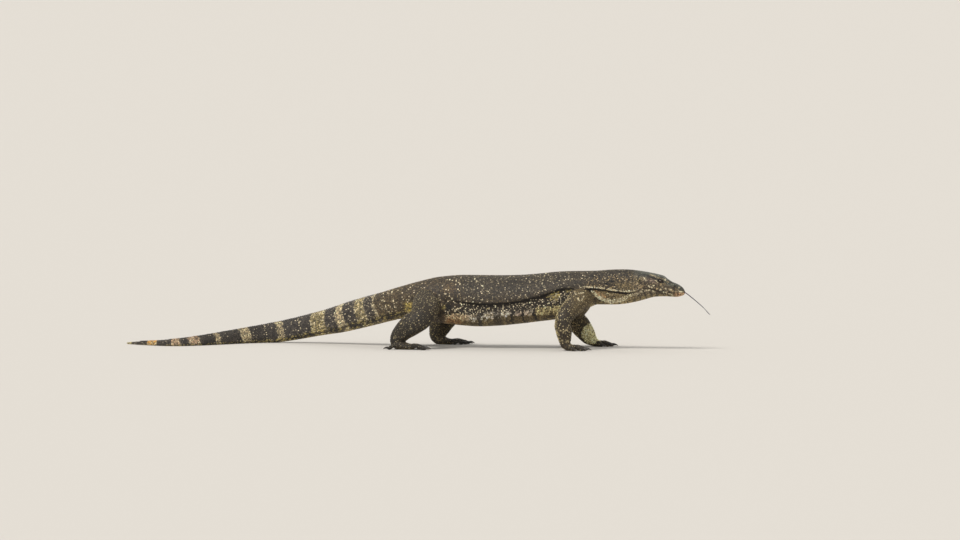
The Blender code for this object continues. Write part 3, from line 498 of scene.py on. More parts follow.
class Surface:
    """Grids of points, each with the place on the animal that it belongs to."""

    def __init__(self):
        self.points, self.faces, self.facts, self.count = [], [], [], 0

    def add(self, grid, region, digit, along, around):
        """A closed loft over the grid's rows; along and around are the unrolled place of each point."""
        rows, sides = grid.shape[:2]
        index = self.count + np.arange(rows * sides).reshape(rows, sides)
        nxt = np.roll(index, -1, 1)
        quads = np.stack([index[:-1], nxt[:-1], nxt[1:], index[1:]], -1).reshape(-1, 4)
        ends = self.count + rows * sides
        caps = []
        for ring, middle in ((0, ends), (-1, ends + 1)):
            fan = np.stack([index[ring], nxt[ring], np.full(sides, middle)], -1)
            caps.append(fan[:, ::-1] if ring == 0 else fan)
        self.points += [grid.reshape(-1, 3), grid[0].mean(0)[None], grid[-1].mean(0)[None]]
        along, around = np.broadcast_arrays(along, around)
        facts = np.stack([np.full(grid.shape[:2], region), np.full(grid.shape[:2], digit), along, around], -1)
        self.facts += [facts.reshape(-1, 4), facts[0, :1], facts[-1, :1]]
        self.faces.append((quads, np.concatenate(caps)))
        self.count += rows * sides + 2

    def joined(self):
        points = np.concatenate(self.points)
        facts = np.concatenate([np.asarray(f, float) for f in self.facts])
        return points, [q for q, _ in self.faces], [c for _, c in self.faces], facts


def new_mesh(name, points, face_sets):
    """A mesh from an array of points and arrays of faces."""
    mesh = bpy.data.meshes.new(name)
    face_sets = [f for f in face_sets if len(f)]
    corners = np.concatenate([f.ravel() for f in face_sets]).astype(np.int32)
    sizes = np.concatenate([np.full(len(f), f.shape[1]) for f in face_sets])
    starts = np.concatenate([[0], np.cumsum(sizes)[:-1]]).astype(np.int32)
    mesh.vertices.add(len(points))
    mesh.vertices.foreach_set("co", np.asarray(points, np.float32).ravel())
    mesh.loops.add(len(corners))
    mesh.loops.foreach_set("vertex_index", corners)
    mesh.polygons.add(len(starts))
    mesh.polygons.foreach_set("loop_start", starts)
    mesh.update(calc_edges=True)
    mesh.shade_smooth()
    return mesh


def vectors(source, what):
    values = np.zeros(len(source) * 3, np.float32)
    source.foreach_get(what, values)
    return values.reshape(-1, 3).astype(float)


def vertex_places(mesh):
    return vectors(mesh.vertices, "co")


def vertex_normals(mesh):
    return vectors(mesh.vertex_normals, "vector")


def move_vertices(mesh, points):
    mesh.vertices.foreach_set("co", points.astype(np.float32).ravel())
    mesh.update()


def thin_share(thick):
    """How much the tail is grown where it is too thin for the skin's faces."""
    return np.maximum(THIN_HALF / np.maximum(thick, 0.3), 1.0)


def source_surface():
    """The whole animal as overlapping closed lofts."""
    surface = Surface()
    stations = spine_places(BACK_LINE[0][0], BACK_LINE[-1][0], lambda x: 1.6 + 0 * x)
    sides = 220
    turns, distances = girths(stations)
    shares = 1 - np.abs(1 - np.arange(sides) / sides * 2)
    left = np.arange(sides) <= sides / 2
    around = np.zeros((len(stations), sides))
    turned = np.zeros((len(stations), sides))
    for i, distance in enumerate(distances):
        around[i] = shares * distance[-1]
        turned[i] = np.interp(around[i], distance, turns)
    turned = np.where(left, turned, TURN - turned)
    around = np.where(left, around, -around)
    grid = body_points(stations[:, None], turned)
    top, bottom, _, wide = section(stations)
    grow_y, grow_z = thin_share(wide), thin_share((top - bottom) / 2)
    core = np.stack([stations, plan(stations), (top + bottom) / 2], -1)[:, None]
    grown = np.stack([grow_y, grow_y, grow_z], -1)[:, None]
    rise = (grow_z - 1) * THIN_RISE
    grid = core + (grid - core) * grown + np.stack([0 * rise, 0 * rise, rise], -1)[:, None]
    surface.add(grid, 0, 0, stations[:, None], around)
    for number, (_, rows, digits, side, _) in enumerate(LIMBS, 1):
        tubes = [(rows, *LIMB_GRID, limb_swell(number))]
        tubes += [(digit_rows(rows, spec, side)[0], *DIGIT_GRID, digit_swell) for spec in digits]
        for which, shape in enumerate(tubes):
            grid, turn, along, drawn, _ = tube_rings(*shape)
            radius = (drawn[:, 3] + drawn[:, 4])[:, None] / 2
            surface.add(grid, number, which, along[:, None], ((turn + np.pi) % TURN - np.pi) * radius)
    return surface.joined()


class Nearest:
    """Finds the nearest of a set of points."""

    def __init__(self, points):
        self.tree = KDTree(len(points))
        for i, point in enumerate(points):
            self.tree.insert(point, i)
        self.tree.balance()

    def __call__(self, points):
        found = [self.tree.find(point) for point in points]
        return np.array([f[1] for f in found]), np.array([f[2] for f in found])


def neighbour_mean(values, edges, counts):
    total = np.zeros(values.shape)
    for column in range(values.shape[1]):
        total[:, column] = np.bincount(edges[:, 0], values[edges[:, 1], column], len(values))
        total[:, column] += np.bincount(edges[:, 1], values[edges[:, 0], column], len(values))
    return total / counts[:, None]


def relaxed(mesh, points, weight, steps):
    """The points drawn towards their neighbours' mean, by the weight of each."""
    edges = np.zeros(len(mesh.edges) * 2, np.int32)
    mesh.edges.foreach_get("vertices", edges)
    edges = edges.reshape(-1, 2)
    counts = np.maximum(np.bincount(edges.ravel(), minlength=len(points)), 1).astype(float)
    for _ in range(steps):
        points = points + (neighbour_mean(points, edges, counts) - points) * weight[:, None]
    return points


def remeshed_skin(points, quads, caps):
    """One closed surface over all the lofts."""
    obj = bpy.data.objects.new("whole", new_mesh("whole", points, [*quads, *caps]))
    bpy.context.scene.collection.objects.link(obj)
    remesh = obj.modifiers.new("remesh", "REMESH")
    remesh.mode = "VOXEL"
    remesh.voxel_size = VOXEL
    bpy.context.view_layer.update()
    mesh = bpy.data.meshes.new_from_object(obj.evaluated_get(bpy.context.evaluated_depsgraph_get()))
    bpy.data.objects.remove(obj)
    return mesh


def refined(mesh, wanted):
    """Splits the faces whose vertices are all wanted, once each way."""
    shape = bmesh.new()
    shape.from_mesh(mesh)
    shape.verts.ensure_lookup_table()
    inside = set(np.flatnonzero(wanted).tolist())
    edges = {e for f in shape.faces if all(v.index in inside for v in f.verts) for e in f.edges}
    bmesh.ops.subdivide_edges(shape, edges=list(edges), cuts=1, use_grid_fill=True)
    shape.to_mesh(mesh)
    shape.free()


def place_frame(x, z, side):
    """The point of the head's side at x and z, with the ways along, up and out from there."""
    turns = np.linspace(0.05, np.pi - 0.05, 2000)
    heights = body_points(x, turns)[:, 2]
    turn = turns[int(np.argmin(np.abs(heights - z)))]
    turn = turn if side > 0 else TURN - turn
    point = body_points(x, turn)
    along = unit(body_points(x + 1, turn) - body_points(x - 1, turn))
    down = unit(body_points(x, turn + 0.02) - body_points(x, turn - 0.02)) * side
    out = unit(np.cross(down, along)) * side
    out = out if out[1] * side > 0 else -out
    up = np.cross(out, along)
    up = up if up[2] > 0 else -up
    return point, np.cross(up, out), up, out


def mouth_path(step=0.4):
    """The line between the lips, from the right corner round the snout to the left one."""
    xs = np.arange(MOUTH_LINE[0][0] - 1.5, BACK_LINE[-1][0] - 0.3, step)
    turns = np.linspace(0.3, np.pi - 0.3, 900)
    sides = []
    for side in (-1, 1):
        line = []
        for x in xs:
            ring = body_points(x, turns if side > 0 else TURN - turns)
            line.append(ring[int(np.argmin(np.abs(ring[:, 2] - mouth_line(x))))])
        sides.append(np.array(line))
    return np.vstack([sides[0], sides[1][::-1]])


def opening(points, place, size):
    """How far the points lie from an oval opening's middle, in its half sizes; 9 where they aren't near."""
    point, along, up, out = place
    off = points - point
    ratio = np.hypot(off @ along / size[0], off @ up / size[1])
    near = (np.abs(off @ out) < 7) & (ratio < 4)
    return np.where(near, ratio, 9.0)


def carve_head(points):
    """Sinks the eye sockets, nostrils, ears and the line of the mouth, and raises their rims."""
    head = np.flatnonzero(points[:, 0] > HEAD_END)
    p = points[head]
    moved = np.zeros(p.shape)
    for side in (-1, 1):
        for place, size, depth, rim, _ in OPENINGS:
            where = place_frame(*place, side)
            ratio = opening(p, where, size)
            lift = -depth * smoothstep(1.02, 0.86, ratio) + rim * bump(ratio, 1.22, 0.2) * (ratio < 3)
            if place is EYE_PLACE:
                lift -= sum(deep * bump(ratio, at, far) for deep, at, far in LID_FOLDS)
            moved += where[3] * lift[:, None]
    near = p[:, 0] > JAWS_FROM
    path = mouth_path()
    index, gap = Nearest(path)(p[near])
    core = np.stack([p[near][:, 0], plan(p[near][:, 0]), path[index][:, 2]], -1)
    out = unit((p[near] - core) * np.array([0, 1, 1]) + np.array([0.02, 0, 0]))
    lift = sum(high * bump(gap, at, far) for high, at, far in LIP_GROOVE)
    moved[near] += out * lift[:, None]
    points = points.copy()
    points[head] += moved
    return points


def make_skin():
    """The skin's mesh in body millimetres, with the place on the animal of each vertex."""
    source, quads, caps, facts = source_surface()
    mesh = remeshed_skin(source, quads, caps)
    points = vertex_places(mesh)
    on_body = facts[:, 0] == 0
    _, to_body = Nearest(source[on_body])(points)
    _, to_limb = Nearest(source[~on_body])(points)
    joint = smoothstep(9, 2.5, to_body) * smoothstep(9, 2.5, to_limb)
    points = relaxed(mesh, points, np.full(len(points), 0.3), 2)
    points = relaxed(mesh, points, joint * 0.8, 14)
    move_vertices(mesh, points)
    refined(mesh, points[:, 0] > 497)
    points = vertex_places(mesh)
    near = points[:, 0] > JAWS_FROM
    path_gap = np.full(len(points), 99.0)
    path_gap[near] = Nearest(mouth_path())(points[near])[1]
    detail = path_gap < 3.2
    for side in (-1, 1):
        for place, size, _, _, reach in OPENINGS:
            detail |= opening(points, place_frame(*place, side), size) < reach
    refined(mesh, detail)
    points = vertex_places(mesh)
    points = relaxed(mesh, points, np.where(points[:, 0] > 495, 0.5, 0), 3)
    move_vertices(mesh, points)
    points = points - vertex_normals(mesh) * COAT
    points = carve_head(points)
    index, _ = Nearest(source)(points)
    facts = facts[index]
    thin = (facts[:, 0] == 0) & (facts[:, 2] < THIN_FROM)
    s = facts[thin, 2]
    top, bottom, _, wide = section(s)
    grow_y, grow_z = thin_share(wide), thin_share((top - bottom) / 2)
    rise = (grow_z - 1) * THIN_RISE
    core = np.stack([points[thin, 0], plan(points[thin, 0]), (top + bottom) / 2 + rise], -1)
    shrunk = core + (points[thin] - core) / np.stack([grow_y, grow_y, grow_z], -1)
    shrunk[:, 2] -= rise
    points[thin] = shrunk
    points[:, 2] = np.maximum(points[:, 2], COAT + 0.05)
    move_vertices(mesh, points)
    return mesh, points, facts


skin_mesh, skin_points, skin_facts = make_skin()
skin_normals = vertex_normals(skin_mesh)
skin_finder = BVHTree.FromPolygons(
    [Vector(p) for p in skin_points], [tuple(p.vertices) for p in skin_mesh.polygons])
skin_nearest = Nearest(skin_points)


def onto_skin(points):
    """The nearest points of the skin, the skin's normals there, and how far they are."""
    found = [skin_finder.find_nearest(point) for point in points]
    places = np.array([f[0] for f in found])
    gaps = np.array([f[3] for f in found])
    index, _ = skin_nearest(places)
    return places, skin_normals[index], gaps


SCALE = np.dtype([
    ("place", "f8", 3), ("lie", "f8", 3), ("long", "f8"), ("wide", "f8"), ("style", "i4"),
    ("region", "i4"), ("digit", "i4"), ("along", "f8"), ("around", "f8"),
])
# Corners, height, keel and gap of each style of scale
GRANULE, KEELED, PLATE, SHIELD, RIM, LABIAL = range(6)
STYLES = {
    GRANULE: (6, 0.46, 0.25, 0.04), KEELED: (8, 0.42, 0.85, 0.05), PLATE: (8, 0.26, 0.0, 0.05),
    SHIELD: (8, 0.30, 0.0, 0.05), RIM: (6, 0.34, 0.0, 0.05), LABIAL: (8, 0.34, 0.0, 0.05),
}


def seeds_of(places, lie, long, wide, style, region, digit, along, around):
    """An array of scales from arrays or single values."""
    made = np.zeros(len(places), SCALE)
    for name, value in (
        ("place", places), ("lie", lie), ("long", long), ("wide", wide), ("style", style),
        ("region", region), ("digit", digit), ("along", along), ("around", around),
    ):
        made[name] = value
    return made


def lower_half(x):
    """How far the belly's broad rows reach from its middle."""
    return 0.62 * half_width(x)


def slope_of_middle(x):
    return ((back(x + 3) + belly(x + 3)) - (back(x - 3) + belly(x - 3))) / 12


WANDER = 0.09             # how far a scale may stray from its row, as a share of the spacing


def body_seeds(start, end, row_pitch, step_at, zone, style):
    """Scales in rows across the body between two stations, over its upper or lower part."""
    stations = spine_places(start, end, row_pitch)
    turns, distances = girths(stations)
    xs, turned, around, steps = [], [], [], []
    for row, (x, distance) in enumerate(zip(stations, distances)):
        girth, step = distance[-1], float(step_at(x))
        if zone == "lower":
            count = int(lower_half(x) / step) + 1
            reach = girth - np.arange(count) * step
        else:
            limit = girth - (lower_half(x) + step * 0.5 if zone == "upper" else 0)
            count = max(2, int(limit / step))
            spread = step if zone == "upper" else limit / (count + 0.25)
            reach = (np.arange(count + 1) + 0.5 * (row % 2)) * spread
            reach = reach[reach < limit + 0.01]
        for side in (1, -1):
            mine = reach if side > 0 else reach[(reach > 0.01) & (reach < girth - 0.01)]
            turn = np.interp(mine, distance, turns)
            xs.append(np.full(len(mine), x))
            turned.append(turn if side > 0 else TURN - turn)
            around.append(mine * side)
            steps.append(np.full(len(mine), step))
    xs, turned, around, steps = (np.concatenate(v) for v in (xs, turned, around, steps))
    draw = np.random.default_rng(SEED + 3)
    xs = xs + row_pitch(xs) * draw.uniform(-WANDER, WANDER, len(xs))
    turned = turned + steps * draw.uniform(-WANDER, WANDER, len(xs)) / half_width(xs)
    lean = smoothstep(0, -60, xs) * slope_of_middle(xs)
    height = body_points(xs, turned)[:, 2] - (back(xs) + belly(xs)) / 2
    xs = np.clip(xs - lean * height, BACK_LINE[0][0] + 0.2, 608)
    places = body_points(xs, turned)
    lie = unit(body_points(xs - 1, turned) - body_points(xs + 1, turned))
    return seeds_of(places, lie, row_pitch(xs) / 2, steps / 2, style, 0, 0, xs, around)


def tube_seeds(rows, swell, pitch, step, region, digit):
    """Scales in rings along a limb or digit."""
    stops, along = even_stops(rows, pitch)
    at, _, ways = tube(rows, stops, swell)
    fine = np.linspace(0, TURN, 145)
    made = []
    for i in range(1, len(stops)):
        ring = at(np.full(len(fine), i), fine)
        distance = run_along(ring)
        count = max(5, round(distance[-1] / step))
        reach = (np.arange(count) + 0.5 * (i % 2)) * distance[-1] / count
        places = at(np.full(count, i), np.interp(reach, distance, fine))
        signed = np.where(reach < distance[-1] / 2, reach, reach - distance[-1])
        made.append(seeds_of(places, ways[i], pitch / 2, step / 2, GRANULE, region, digit, along[i], signed))
    return np.concatenate(made)


def settled(seeds, reach=2.6):
    """The scales moved onto the skin, without those that lie far from it."""
    places, normals, gaps = onto_skin(seeds["place"])
    seeds = seeds.copy()
    seeds["place"] = places
    return seeds[gaps < reach]


def clear_of(seeds, others, share=0.62):
    """The scales that aren't too close to any of the others."""
    if not len(others):
        return seeds
    _, gaps = Nearest(others["place"])(seeds["place"])
    return seeds[gaps > share * (seeds["long"] + seeds["wide"])]


def ring_seeds(place, size, ratio, count, half, style):
    """Scales round an oval opening of the head."""
    point, along, up, _ = place
    turns = np.linspace(0, TURN, 400)
    line = np.stack([np.cos(turns) * size[0], np.sin(turns) * size[1]], 1) * ratio
    distance = run_along(line)
    reach = (np.arange(count) + 0.5 * (round(ratio * 10) % 2)) / count * distance[-1]
    u, v = np.interp(reach, distance, line[:, 0]), np.interp(reach, distance, line[:, 1])
    places = point + u[:, None] * along + v[:, None] * up
    outwards = unit(u[:, None] * along / size[0] + v[:, None] * up / size[1])
    return seeds_of(places, outwards, half, distance[-1] / count / 2, style, 0, 0, places[:, 0], 0)


def labial_seeds(offset, pitch, half, first):
    """A row of scales along the lips, above or below the line of the mouth."""
    path = mouth_path()
    distance = run_along(path)
    reach = np.arange(first, distance[-1], pitch)
    at, ahead, behind = (
        np.stack([np.interp(reach + off, distance, path[:, i]) for i in range(3)], 1) for off in (0, 1, -1)
    )
    way = unit(ahead - behind)
    _, normals, _ = onto_skin(at + np.array([0, 0, offset]))
    up = unit(np.cross(way, normals))
    up *= np.sign(up[:, 2:3])
    places, _, _ = onto_skin(at + up * offset)
    return seeds_of(places, way, pitch / 2, half, LABIAL, 0, 0, places[:, 0], 0)


def head_spacing(points):
    """The distance between scales on the head, by place."""
    x, z = points[:, 0], points[:, 2]
    top = smoothstep(-9, -2, z - back(x))
    spacing = 2.0 + 0.9 * top * smoothstep(500, 520, x) * smoothstep(590, 575, x)
    spacing -= 0.25 * bump(x, 530, 14) * bump(z, 157, 9)
    spacing -= 0.35 * smoothstep(585, 603, x)
    for side in (-1, 1):
        ratio = opening(points, place_frame(*EYE_PLACE, side), LID_OPENING)
        spacing = np.where(ratio < 3.2, np.minimum(spacing, 1.0 + 0.32 * ratio), spacing)
    return spacing


def in_opening(points, margin=1.0):
    """Which points lie in an eye's opening, an ear, a nostril or the line of the mouth."""
    inside = np.zeros(len(points), bool)
    head = np.flatnonzero(points[:, 0] > HEAD_END)
    near = points[head]
    mine = np.zeros(len(head), bool)
    for side in (-1, 1):
        for place, size, *_ in OPENINGS:
            mine |= opening(near, place_frame(*place, side), size) < margin
    jaws = near[:, 0] > 517
    mine[jaws] |= Nearest(mouth_path())(near[jaws])[1] < 0.75
    inside[head] = mine
    return inside


ROOM = 3.4                # size of the cubes that scattered scales are looked up by


def scattered(candidates, spacing, taken, draw):
    """A random choice of the candidates that keeps their spacing from one another and from those taken."""
    grid = {}
    for place, own in taken:
        grid.setdefault(tuple((place // ROOM).astype(int)), []).append((*place, own))
    chosen = []
    around = [(i, j, k) for i in (-1, 0, 1) for j in (-1, 0, 1) for k in (-1, 0, 1)]
    for index in draw.permutation(len(candidates)):
        x, y, z = candidates[index]
        want = spacing[index]
        key = (int(x // ROOM), int(y // ROOM), int(z // ROOM))
        free = True
        for i, j, k in around:
            for px, py, pz, own in grid.get((key[0] + i, key[1] + j, key[2] + k), ()):
                reach = (want + own) / 2
                if (px - x) ** 2 + (py - y) ** 2 + (pz - z) ** 2 < reach * reach:
                    free = False
                    break
            if not free:
                break
        if free:
            grid.setdefault(key, []).append((x, y, z, want))
            chosen.append(index)
    return np.array(chosen, int)


def fill_seeds(seeds, where, spacing, style, draw, ease=0):
    """Scales for the bare places among the skin's vertices that where tells."""
    open_skin = np.flatnonzero(where)
    _, gaps = Nearest(seeds["place"])(skin_points[open_skin])
    open_skin = open_skin[gaps > spacing[open_skin] * 0.45]
    _, near = Nearest(skin_points[open_skin])(seeds["place"])
    rim = seeds[near < 4.5]
    taken = [(s["place"], s["long"] + s["wide"]) for s in rim]
    chosen = open_skin[scattered(skin_points[open_skin], spacing[open_skin] * 0.86, taken, draw)]
    places = skin_points[chosen]
    for _ in range(ease):
        finder = Nearest(np.concatenate([places, rim["place"]]))
        index, _ = finder(skin_points[open_skin])
        mine = index < len(places)
        count = np.maximum(np.bincount(index[mine], minlength=len(places)), 1)
        total = np.stack([
            np.bincount(index[mine], skin_points[open_skin][mine, i], len(places)) for i in range(3)
        ], 1)
        places, _, _ = onto_skin(np.where((count > 1)[:, None], total / count[:, None], places))
    facts = skin_facts[chosen]
    near, _ = Nearest(seeds["place"])(places)
    lie = seeds["lie"][near]
    half = spacing[chosen] / 2
    return seeds_of(places, lie, half, half, style, facts[:, 0], facts[:, 1], facts[:, 2], facts[:, 3])


# Rows of scales of the body, as (start, end, spacing of the rows, spacing in a row, zone, style)
BODY_ROWS = (
    (BACK_LINE[0][0] + 1, TORSO_END, ((-708, 2.4), (-500, 3.0), (-200, 3.6), (-40, 3.3)),
     ((-708, 1.6), (-500, 2.2), (-200, 2.9), (-40, 2.8)), "whole", KEELED),
    (TORSO_END + 2.5, 492, ((-52, 3.2), (100, 3.1), (400, 2.8), (492, 2.4)),
     ((-52, 2.75), (100, 2.75), (400, 2.4), (492, 2.1)), "upper", GRANULE),
    (TORSO_END + 3, 492, ((-52, 4.2), (100, 4.8), (380, 4.2), (492, 2.8)),
     ((-52, 3.2), (100, 3.6), (380, 3.0), (492, 2.3)), "lower", PLATE),
)
# Rings of granules round the openings, as (place, half sizes, ratio to them, how many, half length)
RIM_RINGS = (
    (EYE_PLACE, LID_OPENING, 1.16, 30, 0.42), (EYE_PLACE, LID_OPENING, 1.42, 30, 0.5),
    (EYE_PLACE, LID_OPENING, 1.72, 30, 0.6), (EYE_PLACE, LID_OPENING, 2.1, 30, 0.75),
    (EAR_PLACE, EAR_SIZE, 1.2, 18, 0.6), (NOSTRIL_PLACE, NOSTRIL_SIZE, 1.45, 11, 0.55),
)
# Rows of scales along the lips, as (height over the line of the mouth, spacing, half height, start)
LIP_ROWS = ((1.65, 2.7, 1.05, 1.0), (-1.65, 2.7, 1.05, 2.2))
SHIELDS_FROM = 488        # where the rows of the body end and the shields of the head begin


def all_seeds():
    """Every scale of the coat."""
    draw = np.random.default_rng(SEED)
    body = settled(np.concatenate([
        body_seeds(start, end, smooth(pitch), smooth(step), zone, style)
        for start, end, pitch, step, zone, style in BODY_ROWS
    ]))
    body = body[~in_opening(body["place"])]
    head = settled(np.concatenate([
        ring_seeds(place_frame(*place, side), *ring, RIM) for side in (-1, 1) for place, *ring in RIM_RINGS
    ]))
    lips = np.concatenate([labial_seeds(*row) for row in LIP_ROWS])
    lips = lips[lips["place"][:, 0] > 519]
    head = np.concatenate([lips, clear_of(head, lips)])
    parts = [body[body["place"][:, 0] < SHIELDS_FROM + 1], head]
    inside = in_opening(skin_points, 1.04)
    spacing = np.full(len(skin_points), 2.5)
    on_head = (skin_facts[:, 0] == 0) & (skin_points[:, 0] > SHIELDS_FROM)
    spacing[on_head] = head_spacing(skin_points[on_head])
    so_far = np.concatenate(parts)
    parts.append(fill_seeds(so_far, on_head & ~inside, spacing, SHIELD, draw, ease=3))
    for number, (_, rows, digits, side, _) in enumerate(LIMBS, 1):
        shaft = settled(tube_seeds(rows, limb_swell(number), *LIMB_SCALES, number, 0), 2.0)
        parts.append(clear_of(shaft, np.concatenate(parts)))
        toes = []
        for which, spec in enumerate(digits, 1):
            line, _, _ = digit_rows(rows, spec, side)
            toe = settled(tube_seeds(line, digit_swell, *DIGIT_SCALES, number, which), 1.6)
            toes.append(toe if not toes else clear_of(toe, np.concatenate(toes)))
        parts.append(clear_of(np.concatenate(toes), np.concatenate(parts), 0.5))
    so_far = np.concatenate(parts)
    spacing[skin_points[:, 2] < 14] = 2.1
    parts.append(fill_seeds(so_far, ~inside & ~on_head, spacing, GRANULE, draw))
    seeds = np.concatenate(parts)
    seeds = seeds[~in_opening(seeds["place"], 1.02)]
    on_head = (seeds["region"] == 0) & (seeds["place"][:, 0] > SHIELDS_FROM)
    index, _ = skin_nearest(seeds["place"][on_head])
    seeds["along"][on_head], seeds["around"][on_head] = skin_facts[index, 2], skin_facts[index, 3]
    return seeds


seeds = all_seeds()

NEIGHBOURS = 12
SINK = 0.4                # how deep a scale's root lies below the skin
SHOULDER = 0.80           # how far out its flat top reaches
# painted shade: scales are darkened towards their sunken roots, where the gaps between them lie in shade
EDGE_SHADE = 0.45         # how dark it is at its root
PATCH = 0.0015            # half the size of a scale on the unrolled skin's map


def scale_normals(places):
    """The skin's smoothed normal at each place, from the corners of the nearest face."""
    normals = np.zeros((len(places), 3))
    for i, place in enumerate(places):
        corners = list(skin_mesh.polygons[skin_finder.find_nearest(place)[2]].vertices)
        weights = 1 / (np.linalg.norm(skin_points[corners] - place, axis=1) + 0.1)
        normals[i] = weights @ skin_normals[corners]
    return unit(normals)


class Cells:
    """How far each scale reaches in each of its directions before it meets its neighbours.

    The directions go round from the lie's end; a scale's own size shares out the room between two.
    """

    def __init__(self, seeds, normals):
        self.seeds, self.normals = seeds, normals
        tree = KDTree(len(seeds))
        for i, place in enumerate(seeds["place"]):
            tree.insert(place, i)
        tree.balance()
        self.near = np.array([[f[1] for f in tree.find_n(p, NEIGHBOURS)][1:] for p in seeds["place"]])
        self.lie = unit(seeds["lie"] - normals * (seeds["lie"] * normals).sum(1, keepdims=True))
        self.across = np.cross(normals, self.lie)

    def reaches(self, chosen, corners, gap):
        """For the chosen scales: the reach in each direction, and the directions on the skin."""
        seeds, near = self.seeds[chosen], self.near[chosen]
        off = self.seeds["place"][near] - seeds["place"][:, None]
        x = (off * self.lie[chosen][:, None]).sum(2)
        y = (off * self.across[chosen][:, None]).sum(2)
        size = self.seeds["long"] + self.seeds["wide"]
        share = size[chosen][:, None] / (size[chosen][:, None] + size[near])
        facing = (self.normals[near] * self.normals[chosen][:, None]).sum(2) > 0.1
        turn = TURN * np.arange(corners) / corners
        ways = np.stack([np.cos(turn) * seeds["long"][:, None], np.sin(turn) * seeds["wide"][:, None]], -1)
        own = np.linalg.norm(ways, axis=2)
        ways = ways / own[..., None]
        towards = x[:, None] * ways[..., :1] + y[:, None] * ways[..., 1:]
        met = share[:, None] * (x**2 + y**2)[:, None] / np.maximum(towards, 1e-6)
        met = np.where((towards > 0.05) & facing[:, None], met, 99)
        reach = np.minimum(met.min(2), own * 1.35) * (1 - gap)
        flat = ways[..., :1] * self.lie[chosen][:, None] + ways[..., 1:] * self.across[chosen][:, None]
        return reach, ways, flat


def raised_scales(cells, chosen, corners, height, keel, gap, draw):
    """Domed, closed scales: points, faces, and each point's shade, scale and place within its patch."""
    reach, ways, flat = cells.reaches(chosen, corners, gap)
    seeds, normal = cells.seeds[chosen], cells.normals[chosen]
    count = len(chosen)
    high = height * draw.uniform(0.85, 1.15, count) * np.clip(reach.mean(1) / 1.05, 0.45, 1.1)
    ridge = 1 + keel * ways[..., 0] ** 4
    behind = 0.12 * ways[..., 0]
    place = seeds["place"][:, None]
    base = place + flat * reach[..., None] - normal[:, None] * SINK
    lift = high[:, None] * (0.9 * ridge + behind)
    shoulder = place + flat * (reach * SHOULDER)[..., None] + normal[:, None] * lift[..., None]
    apex = place + normal[:, None] * (high * (1.32 + keel * 0.9))[:, None, None]
    points = np.concatenate([base, shoulder, apex], 1)
    each = 2 * corners + 1
    start = (np.arange(count) * each)[:, None]
    low = np.arange(corners)[None] + start
    nxt = (np.arange(corners)[None] + 1) % corners + start
    sides = np.stack([low, nxt, nxt + corners, low + corners], -1).reshape(-1, 4)
    top = np.stack([low + corners, nxt + corners, np.broadcast_to(start + 2 * corners, low.shape)], -1)
    # painted shade: each scale's root ring is darkened by EDGE_SHADE for the shade in the gaps between
    # scales; its tip is a little lighter
    shade = np.concatenate([np.full(corners, EDGE_SHADE), np.full(corners, 0.96), [1.1]])
    size = np.maximum(reach.max(1), 0.3)[:, None, None]
    ring = ways * reach[..., None] / size * PATCH
    within = np.concatenate([ring, ring * SHOULDER, np.zeros((count, 1, 2))], 1)
    return (
        points.reshape(-1, 3), [sides, top.reshape(-1, 3), low[:, ::-1]], np.tile(shade, count),
        np.repeat(np.arange(count), each), within.reshape(-1, 2),
    )


def srgb(red, green, blue):
    return np.array([red, green, blue]) / 255


def linear(colours):
    colours = np.clip(colours, 0, 1)
    return np.where(colours <= 0.04045, colours / 12.92, ((colours + 0.055) / 1.055) ** 2.4)


BACK_TONE, FLANK_TONE, LOW_TONE = srgb(67, 59, 47), srgb(71, 60, 45), srgb(38, 30, 18)
DOT_TONE, LOW_DOT_TONE = srgb(202, 188, 158), srgb(232, 218, 184)
BLACK_TONE, INK_TONE, NIGHT_TONE = srgb(24, 21, 18), srgb(40, 35, 30), srgb(74, 68, 62)
PALE_TONE, AMBER_TONE = srgb(196, 178, 140), srgb(212, 160, 86)
PINK_TONE, YELLOW_TONE = srgb(188, 160, 130), srgb(186, 168, 100)
CREAM_TONE, OLIVE_TONE, BELLY_TONE = srgb(222, 208, 172), srgb(118, 101, 66), srgb(164, 146, 100)
LIMB_TONE, LIMB_DOT_TONE, TOE_TONE = srgb(67, 56, 39), srgb(196, 180, 138), srgb(56, 50, 44)
CROWN_TONE, TEMPLE_TONE, TIP_TONE = srgb(72, 75, 66), srgb(140, 124, 98), srgb(234, 184, 138)
TAN_TONE, PEACH_TONE, MAUVE_TONE = srgb(170, 148, 108), srgb(222, 176, 134), srgb(132, 112, 96)
KHAKI_TONE, LEMON_TONE = srgb(166, 150, 106), srgb(196, 184, 122)
HIP_TONE, HIP_PATCH_TONE, BREAST_TONE = srgb(84, 68, 46), srgb(112, 88, 54), srgb(112, 96, 64)
SHOULDER_TONE, WHITE_TONE = srgb(186, 146, 104), srgb(255, 244, 222)
GROIN_TONE, LOW_GROIN_TONE = srgb(240, 200, 148), srgb(168, 118, 72)
TAIL_ROOT_TONE, VENT_TONE = srgb(112, 97, 72), srgb(216, 192, 106)
NECK_TONE, CHEEK_TONE = srgb(98, 84, 62), srgb(142, 125, 90)
THROAT_TONE, JOWL_TONE = srgb(184, 162, 118), srgb(206, 166, 118)
NAPE_TONE, CROWN_DOT_TONE, LIP_TONE = srgb(146, 130, 94), srgb(128, 128, 104), srgb(54, 44, 32)
BROW_TONE, CRACK_TONE = srgb(158, 142, 110), srgb(40, 30, 18)
LID_TONE, LID_RIM_TONE = srgb(44, 38, 32), srgb(150, 134, 96)
INNER_LIMB_TONE, REAR_LIMB_TONE = srgb(150, 134, 92), srgb(196, 180, 128)
FAR_PATCH_TONE, SOLE_TONE = srgb(255, 243, 182), srgb(120, 106, 76)
CLAW_TONE, CLAW_TIP_TONE = srgb(34, 29, 25), srgb(86, 76, 64)
TONGUE_TONE, FORK_TONE = srgb(104, 84, 92), srgb(58, 56, 70)

